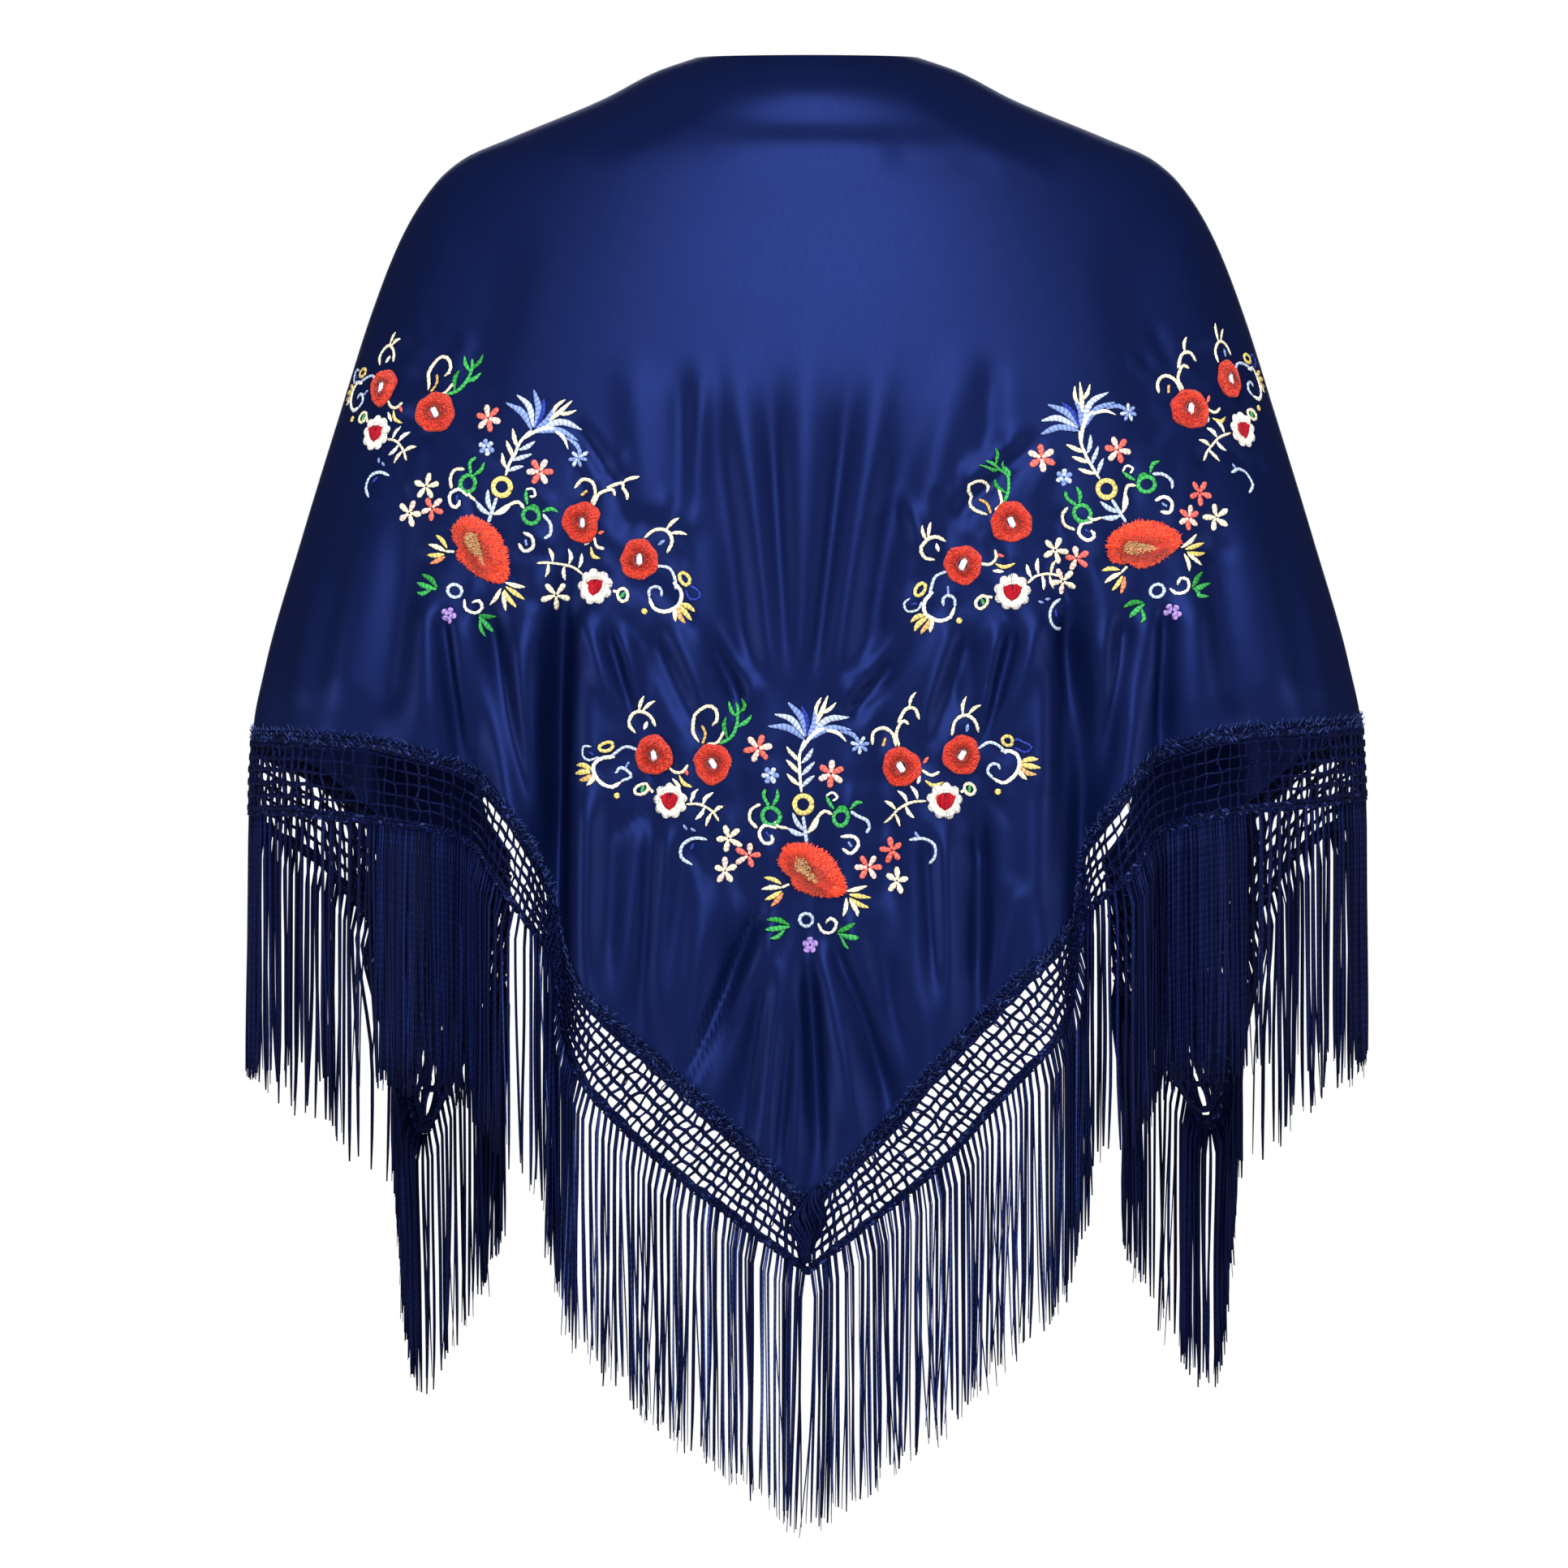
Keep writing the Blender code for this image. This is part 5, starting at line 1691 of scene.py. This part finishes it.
def flat_spray(word):
    """One spray of flat embroidery, with a dark edge of painted shade under every line."""
    chance = np.random.default_rng(80 + len(word))
    heap = new_heap()
    count = 0
    for anchor, (flower_name, turn) in SPRAYS[word].items():
        strokes = spray_strokes(anchor, CROWDED.get(word, ()))
        if not strokes:
            continue
        local = np.array([path for path, _, _ in strokes]) - np.array(DESIGN_PLACES[anchor])
        azimuth, drop = design_to_cloth(flower_name, turn, local)
        points, out = cloth_point(azimuth, drop), cloth_normal(azimuth, drop)
        widths = np.array([width for _, width, _ in strokes]) * STITCH_FULLNESS
        widths = widths * chance.uniform(0.88, 1.12, widths.shape)
        colours = np.array([linear(THREAD[colour]) for _, _, colour in strokes])[:, None]
        colours = colours * chance.uniform(0.90, 1.06, (len(strokes), 1, 1))
        colours = colours * chance.uniform(0.86, 1.06, (*widths.shape, 1))
        rise = STITCH_HEIGHT * np.clip(widths / widths.max(axis=1, keepdims=True), 0.5, 1)
        lifted = points + out * (SATIN_THICKNESS / 2 + STITCH_LIFT)
        sweep(heap, lifted, widths * MM, rise, out, 6, colours)
        # A lower, wider near-black line under each stitched line: painted shade where it meets the
        # satin.
        base = points + out * SATIN_THICKNESS / 2
        wider = (widths + SHADE_EDGE_EXTRA) * MM
        sweep(heap, base, wider, SHADE_EDGE_HEIGHT, out, 4, np.array(PAINTED_EDGE_SHADE))
        count += len(strokes)
    spray = heap_piece(f"silk_spray_{word}", heap, silk_thread)
    print(f"stitched lines on the {word} spray:", count)
    return spray


sprays = [flat_spray(word) for word in SPRAYS]
print("sprays of flat embroidery:", len(sprays))

# %% [markdown]
# ## Tufted flowers
# The poppies, roses and carnations stand up from the satin. The red ones are worked in cut
# loops of thread, like the pile of a rug, so their edges are soft. Hair could be grown on a
# surface, but it would not carry over to other programs, so every tuft is a short swept cord
# that leans outward over a low cushion, whose darker red is painted shade under the pile.

# %% Tuft finish
POPPY_REDS = ("#E23A14", "#D62C0E", "#EA4C22")
ROSE_REDS = ("#E23212", "#CE240C", "#EA4820")


def cut_pile():
    """A soft finish for tufts: rough, with a faint sheen on the thread ends."""
    made, tree, output = new_material("cut_rayon_pile")
    own = add_node(tree, "ShaderNodeVertexColor", {"layer_name": "thread_colour"})
    place = add_node(tree, "ShaderNodeUVMap", {"uv_map": "thread_place"})
    grain = add_node(
        tree, "ShaderNodeTexNoise", {}, {"Vector": place.outputs["UV"], "Scale": 900.0, "Detail": 1.0}
    )
    shade = add_node(
        tree, "ShaderNodeMapRange", {}, {"Value": grain.outputs["Fac"], "To Min": 0.8, "To Max": 1.2}
    )
    colour = add_node(
        tree,
        "ShaderNodeVectorMath",
        {"operation": "SCALE"},
        {0: own.outputs["Color"], "Scale": shade.outputs[0]},
    )
    shader = add_node(
        tree,
        "ShaderNodeBsdfPrincipled",
        {},
        {
            "Base Color": colour.outputs[0],
            "Roughness": 0.85,
            "Sheen Weight": 0.15,
            "Sheen Roughness": 0.5,
        },
    )
    tree.links.new(shader.outputs[0], output.inputs["Surface"])
    return made


pile_finish = cut_pile()
print("finish:", pile_finish.name)


def flower_points(name, turn, places, heights):
    """Places round a flower, in mm, with heights above the satin in mm, as points."""
    azimuth, drop = design_to_cloth(name, turn, places)
    out = cloth_normal(azimuth, drop)
    return cloth_point(azimuth, drop) + out * (SATIN_THICKNESS / 2 + heights[..., None] * MM), out


def mixed_reds(reds, chance, count):
    """A colour for each tuft from a few reds, with some variation."""
    choices = np.array([linear(red) for red in reds])
    return choices[chance.integers(0, len(reds), count)] * chance.uniform(0.65, 1.25, (count, 1))


def tufts(heap, name, turn, places, leans, length, heights, width, colours, chance):
    """Short threads that rise from the satin and lean outward."""
    count = len(places)
    reach = np.array([0.0, 0.45, 1.0])[None, :, None]
    long = length * chance.uniform(0.75, 1.2, (count, 1, 1))
    path = places[:, None] + leans[:, None] * reach * long
    rise = heights[:, None] * np.array([0.3, 1.0, 0.75])
    points, out = flower_points(name, turn, path, rise)
    size = width * MM * np.array([1.0, 1.0, 0.55]) * chance.uniform(0.8, 1.2, (count, 1))
    sweep(heap, points, size, size, out, 3, colours)


def cushion(heap, name, turn, outline, hole, height, colour):
    """The low closed cushion under the tufts, with its hollow in the middle. Its red is painted shade.
    """
    turns = np.linspace(0, 2 * np.pi, 29)
    edge = outline(turns)
    shares = np.array([0.0, 0.25, 0.5, 0.75, 1.0])
    for low, high in zip(shares, shares[1:]):
        middle = (low + high) / 2
        radius = hole + (edge - hole) * middle
        places = np.stack([radius * np.cos(turns), radius * np.sin(turns)], axis=-1)[None]
        dome = math.sin(math.pi * (0.15 + 0.7 * middle))
        rise = np.full(places.shape[:2], height * dome * 0.5)
        points, out = flower_points(name, turn, places, rise)
        band = (edge - hole) * (high - low) * 1.6 * MM
        sweep(heap, points, band[None], rise * 2 * MM, out, 6, np.array(colour))


# %% [markdown]
# A rose is a wavy oval of red pile round an eye. The tufts near the eye lean inward and are
# darker, as painted shade in the hollow, and those at the rim lean outward. The eye is four
# bars of thread, two pale and two white, and the white ones are a painted highlight.

# %% Roses
ROSE_TUFTS = 880
ROSE_TUFT_LENGTH = 1.5
ROSE_TUFT_WIDTH = 0.62
ROSE_HEIGHT = 3.0
ROSE_CUSHION_HEIGHT = 2.2
# The rose's cushion is a darker red than its tufts: painted shade under the pile.
ROSE_CUSHION_PAINTED_SHADE = linear("#A51A0A")
ROSE_EYE = 3.0
# Two bars are pale and two white: the white side is a painted highlight on the pale eye.
EYE_BARS_WITH_HIGHLIGHT = ((-1.2, "pale"), (-0.4, "pale"), (0.4, "white"), (1.2, "white"))
EYE_HALF_WIDTH = 1.9
EYE_HALF_HEIGHT = 3.8
EYE_BAR_SHAPE = np.array([0.5, 0.9, 1.0, 1.0, 1.0, 0.9, 0.5])


def tufted_rose(name):
    """One rose: its cushion, its tufts and its eye."""
    flower = FLOWERS[name]
    chance = np.random.default_rng(sum(map(ord, name)))
    wide, high = flower.half_width / MM, flower.half_height / MM
    heap = new_heap()
    shift, tilt = chance.uniform(0, 6), chance.uniform(-0.7, 0.7)

    def outline(turns):
        """How far the rim is from the middle, in mm, in each direction."""
        oval = wide * high / np.hypot(high * np.cos(turns), wide * np.sin(turns))
        petals = 0.045 * np.sin(3 * turns + shift) + 0.032 * np.sin(7 * turns + 2 * shift)
        return oval * 0.98 * (1 + petals)

    cushion(heap, name, 0, outline, ROSE_EYE, ROSE_CUSHION_HEIGHT, ROSE_CUSHION_PAINTED_SHADE)
    turns = chance.uniform(0, 2 * np.pi, ROSE_TUFTS)
    share = np.sqrt(chance.uniform(0.11, 0.86, ROSE_TUFTS))
    radius = outline(turns) * share
    outward = np.stack([np.cos(turns), np.sin(turns)], axis=1)
    side = np.interp(share, (0.33, 0.50, 0.65, 1.0), (-0.8, -0.1, 0.7, 0.8))[:, None]
    twist = chance.normal(0, 0.4, (ROSE_TUFTS, 1)) * np.stack([-np.sin(turns), np.cos(turns)], axis=1)
    heights = ROSE_HEIGHT * np.sin(np.pi * (0.10 + 0.74 * share))
    heights = heights * chance.uniform(0.85, 1.12, ROSE_TUFTS)
    # Tufts near the eye are darker: painted shade in the hollow round it.
    shade = (0.50 + 0.60 * fade(0.34, 0.68, share))[:, None]
    reds = mixed_reds(ROSE_REDS, chance, ROSE_TUFTS) * shade
    places = radius[:, None] * outward
    leans = outward * side + twist
    length, width = ROSE_TUFT_LENGTH, ROSE_TUFT_WIDTH
    tufts(heap, name, 0, places, leans, length, heights, width, reds, chance)

    pointing = np.array([math.sin(tilt), math.cos(tilt)])
    aside = np.array([math.cos(tilt), -math.sin(tilt)])
    steps = len(EYE_BAR_SHAPE)
    # The white bars on one side are a painted highlight.
    for beside, colour in EYE_BARS_WITH_HIGHLIGHT:
        reach = EYE_HALF_HEIGHT * math.sqrt(1 - (beside / EYE_HALF_WIDTH) ** 2)
        path = np.linspace(-reach, reach, steps)[:, None] * pointing + beside * aside
        points, out = flower_points(name, 0, path[None], np.full((1, steps), 1.2))
        bar = EYE_BAR_SHAPE * 1.25 * MM
        sweep(heap, points, bar[None], 0.0014, out, 6, np.array(linear(THREAD[colour])))
    rose = heap_piece(f"tufted_{name}", heap, pile_finish)
    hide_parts(name)
    return rose


roses = [tufted_rose(name) for name in FLOWERS if name.startswith("rose")]
print("roses:", len(roses))

# %% [markdown]
# A poppy has one broad petal that fans out above a pale seam, and a narrower, darker one
# folded up below it. Its outline is a rounded line through a few places, in mm. Each tuft
# leans away from the seam, so the pile shows which petal it belongs to. Near the seam, where
# the pile dips, the tufts are darker: painted shade.

# %% Poppies
POPPY_TUFTS = 2650
POPPY_OUTLINE = (
    (-21.0, 6.0),
    (-18.5, 12.5),
    (-12.5, 16.3),
    (-4.0, 15.6),
    (6.0, 12.6),
    (14.0, 5.5),
    (19.0, -2.5),
    (21.2, -10.0),
    (18.5, -15.0),
    (8.0, -15.2),
    (-3.0, -13.2),
    (-11.5, -9.0),
    (-13.5, -3.0),
    (-18.0, 0.5),
)
POPPY_TURN = 28.0
OUTLINE_SHARE = 0.93
POPPY_TUFT_LENGTH = 2.0
POPPY_TUFT_WIDTH = 0.66
POPPY_HEIGHT = 3.4
POPPY_LEAST_HEIGHT = 0.6
POPPY_HOLLOW = 0.5
POPPY_CUSHION_HEIGHT = 2.4
# The poppy's cushion is a darker red than its tufts: painted shade under the pile.
POPPY_CUSHION_PAINTED_SHADE = linear("#A81E0A")
SEAM_TAN = linear("#DDB07A")
JOIN_ORANGE = linear("#F08A50")
SEAM_START = np.array([-7.5, 3.2])
SEAM_END = np.array([4.5, -7.0])
PETAL_JOIN_END = np.array([17.0, -9.6])


def closed_outline(points):
    """A smooth closed line through a few places."""
    points = np.array(points, float)
    t = np.linspace(0, 1, 10, endpoint=False)[:, None]
    line = []
    for k in range(len(points)):
        a, b, c, d = (points[(k + step) % len(points)] for step in (-1, 0, 1, 2))
        line.append(curve_piece(a, b, c, d, t))
    return np.vstack(line)


def inside(line, places):
    """Which places lie inside a closed line."""
    x, y = places[:, 0, None], places[:, 1, None]
    x1, y1 = line[:, 0], line[:, 1]
    x2, y2 = np.roll(x1, -1), np.roll(y1, -1)
    crosses = (y1 > y) != (y2 > y)
    with np.errstate(divide="ignore", invalid="ignore"):
        left = x < x1 + (y - y1) * (x2 - x1) / (y2 - y1)
    return (crosses & left).sum(axis=1) % 2 == 1


def seam_distance(places, start, end):
    """How far places lie from a line, how far along it, and the way from it to them."""
    seam = end - start
    along = np.clip((places - start) @ seam / (seam @ seam), 0, 1)
    away = places - start - along[:, None] * seam
    return np.linalg.norm(away, axis=1), along, away


def tufted_poppy(name):
    """One poppy: its cushion, and tufts that lean away from its seam."""
    chance = np.random.default_rng(sum(map(ord, name)))
    turn = FLOWERS[name].turn + POPPY_TURN
    line = closed_outline(POPPY_OUTLINE)
    heap = new_heap()

    def outline(turns):
        """How far the rim is from the middle, in mm, in each direction."""
        angles = np.arctan2(line[:, 1], line[:, 0])
        order = np.argsort(angles)
        radii = np.hypot(line[:, 0], line[:, 1])[order]
        wrapped = np.mod(turns + np.pi, 2 * np.pi) - np.pi
        return np.interp(wrapped, angles[order], radii, period=2 * np.pi) * OUTLINE_SHARE

    cushion(heap, name, -turn, outline, POPPY_HOLLOW, POPPY_CUSHION_HEIGHT, POPPY_CUSHION_PAINTED_SHADE)
    spread = chance.uniform(-1, 1, (3 * POPPY_TUFTS, 2)) * np.array([22.0, 17.0])
    places = spread[inside(line * 0.94, spread)][:POPPY_TUFTS]
    count = len(places)
    distance, along, away = seam_distance(places, SEAM_START, SEAM_END)
    join_distance, _, _ = seam_distance(places, SEAM_END, PETAL_JOIN_END)
    lean = away / np.maximum(distance, 0.3)[:, None] + chance.normal(0, 0.20, (count, 2))
    edge_there = outline(np.arctan2(places[:, 1], places[:, 0])) / OUTLINE_SHARE
    rim = np.linalg.norm(places, axis=1) / edge_there
    dome = np.sqrt(np.clip(1.06 - rim**2, 0.06, 1))
    trough = 1 - 0.42 * np.exp(-((np.minimum(distance, join_distance) / 2.0) ** 2))
    heights = POPPY_HEIGHT * dome * trough * chance.uniform(0.9, 1.1, count)
    above = away[:, 1] * 0.76 + away[:, 0] * 0.64 > 0
    # Tufts are darker within a few mm of the seam, where the pile dips: painted shade.
    tone = np.where(above, 0.66 + 0.50 * fade(3, 10, distance), 0.42 + 0.44 * fade(3, 9, distance))
    reds = mixed_reds(POPPY_REDS, chance, count) * tone[:, None]
    reach = 3.3 * (1 - along) ** 0.7 + 0.5
    on_seam = distance < reach * chance.uniform(0.8, 1.2, count)
    lean = np.where(on_seam[:, None], chance.normal(0, 0.35, (count, 2)), lean)
    pale = on_seam[:, None] * chance.uniform(0.75, 1.1, (count, 1))
    edge = (join_distance < 0.8)[:, None] * 0.5
    petals = reds * (1 - edge) + np.array(JOIN_ORANGE) * edge
    colours = np.where(pale > 0, np.array(SEAM_TAN) * pale, petals)
    heights = np.maximum(heights + 0.9 * (pale[:, 0] > 0), POPPY_LEAST_HEIGHT)
    length, width = POPPY_TUFT_LENGTH, POPPY_TUFT_WIDTH
    tufts(heap, name, -turn, places, lean, length, heights, width, colours, chance)
    poppy = heap_piece(f"tufted_{name}", heap, pile_finish)
    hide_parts(name)
    print("tufts:", count)
    return poppy


poppies = [tufted_poppy(name) for name in FLOWERS if name.startswith("poppy")]
print("poppies:", len(poppies))

# %% [markdown]
# A carnation is a thick white frill round a dark red heart. Both are padded satin stitch, so
# each thread is laid as a bar over the padding: across the frill, and down the heart.

# %% Carnations
FRILL_BARS = 84
HEART_BARS = 17
BAR_STEPS = 7
FRILL_INNER = 0.42
FRILL_BAR_HEIGHT = 0.0012
HEART_BAR_WIDTH = 0.00098
HEART_BAR_HEIGHT = 0.0011
HEART_RED = linear("#A3161F")


def padded_carnation(name):
    """One carnation: bars across the frill, and bars down the heart."""
    flower = FLOWERS[name]
    chance = np.random.default_rng(sum(map(ord, name)))
    size = flower.half_width / MM
    mirror = 1 if flower.azimuth < 0 else -1
    heap = new_heap()
    turns = 2 * np.pi * (np.arange(FRILL_BARS) + chance.uniform(-0.2, 0.2, FRILL_BARS)) / FRILL_BARS
    scallop = np.abs(np.sin(4.5 * turns + 0.5))
    outer = size * (0.80 + 0.17 * scallop)
    inner = size * FRILL_INNER
    t = np.linspace(0, 1, BAR_STEPS)
    radius = inner + (outer - inner)[:, None] * t
    x, y = radius * np.cos(turns)[:, None] * mirror, radius * np.sin(turns)[:, None]
    places = np.stack([x, y], axis=-1)
    rise = np.sin(np.pi * (0.1 + 0.8 * t)) * (1.4 + 0.8 * scallop[:, None])
    points, out = flower_points(name, 0, places, rise)
    whites = np.array([linear(THREAD["white"])]) * chance.uniform(0.84, 1.02, (FRILL_BARS, 1))
    bar = 2.3 * np.pi * 0.75 * size / FRILL_BARS * MM * np.clip(0.7 + 0.5 * t, 0, 1.1)
    sweep(heap, points, bar, FRILL_BAR_HEIGHT, out, 5, whites)

    places = np.linspace(-1, 1, HEART_BARS)
    lobes = np.sqrt(np.clip(1 - (2.1 * np.abs(places) - 1) ** 2, 0, 1))
    top = 0.34 + 0.22 * lobes - 0.15 * np.exp(-((places / 0.18) ** 2))
    low = -0.66 + 0.78 * np.abs(places) ** 1.4
    height = low[:, None] + (np.maximum(top, low + 0.1) - low)[:, None] * t
    heart = np.stack([places[:, None] * np.ones(BAR_STEPS) * 0.56, height * 0.92], axis=-1) * size
    rise = 0.5 + np.sin(np.pi * (0.08 + 0.84 * t)) * (1.6 - 0.6 * np.abs(places[:, None]))
    points, out = flower_points(name, 0, heart, rise)
    reds = np.array([HEART_RED]) * chance.uniform(0.7, 1.35, (HEART_BARS, 1))
    sweep(heap, points, HEART_BAR_WIDTH, HEART_BAR_HEIGHT, out, 5, reds)
    carnation = heap_piece(f"padded_{name}", heap, silk_thread)
    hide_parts(name)
    return carnation


carnations = [padded_carnation(name) for name in FLOWERS if name.startswith("carnation")]
print("carnations:", len(carnations))
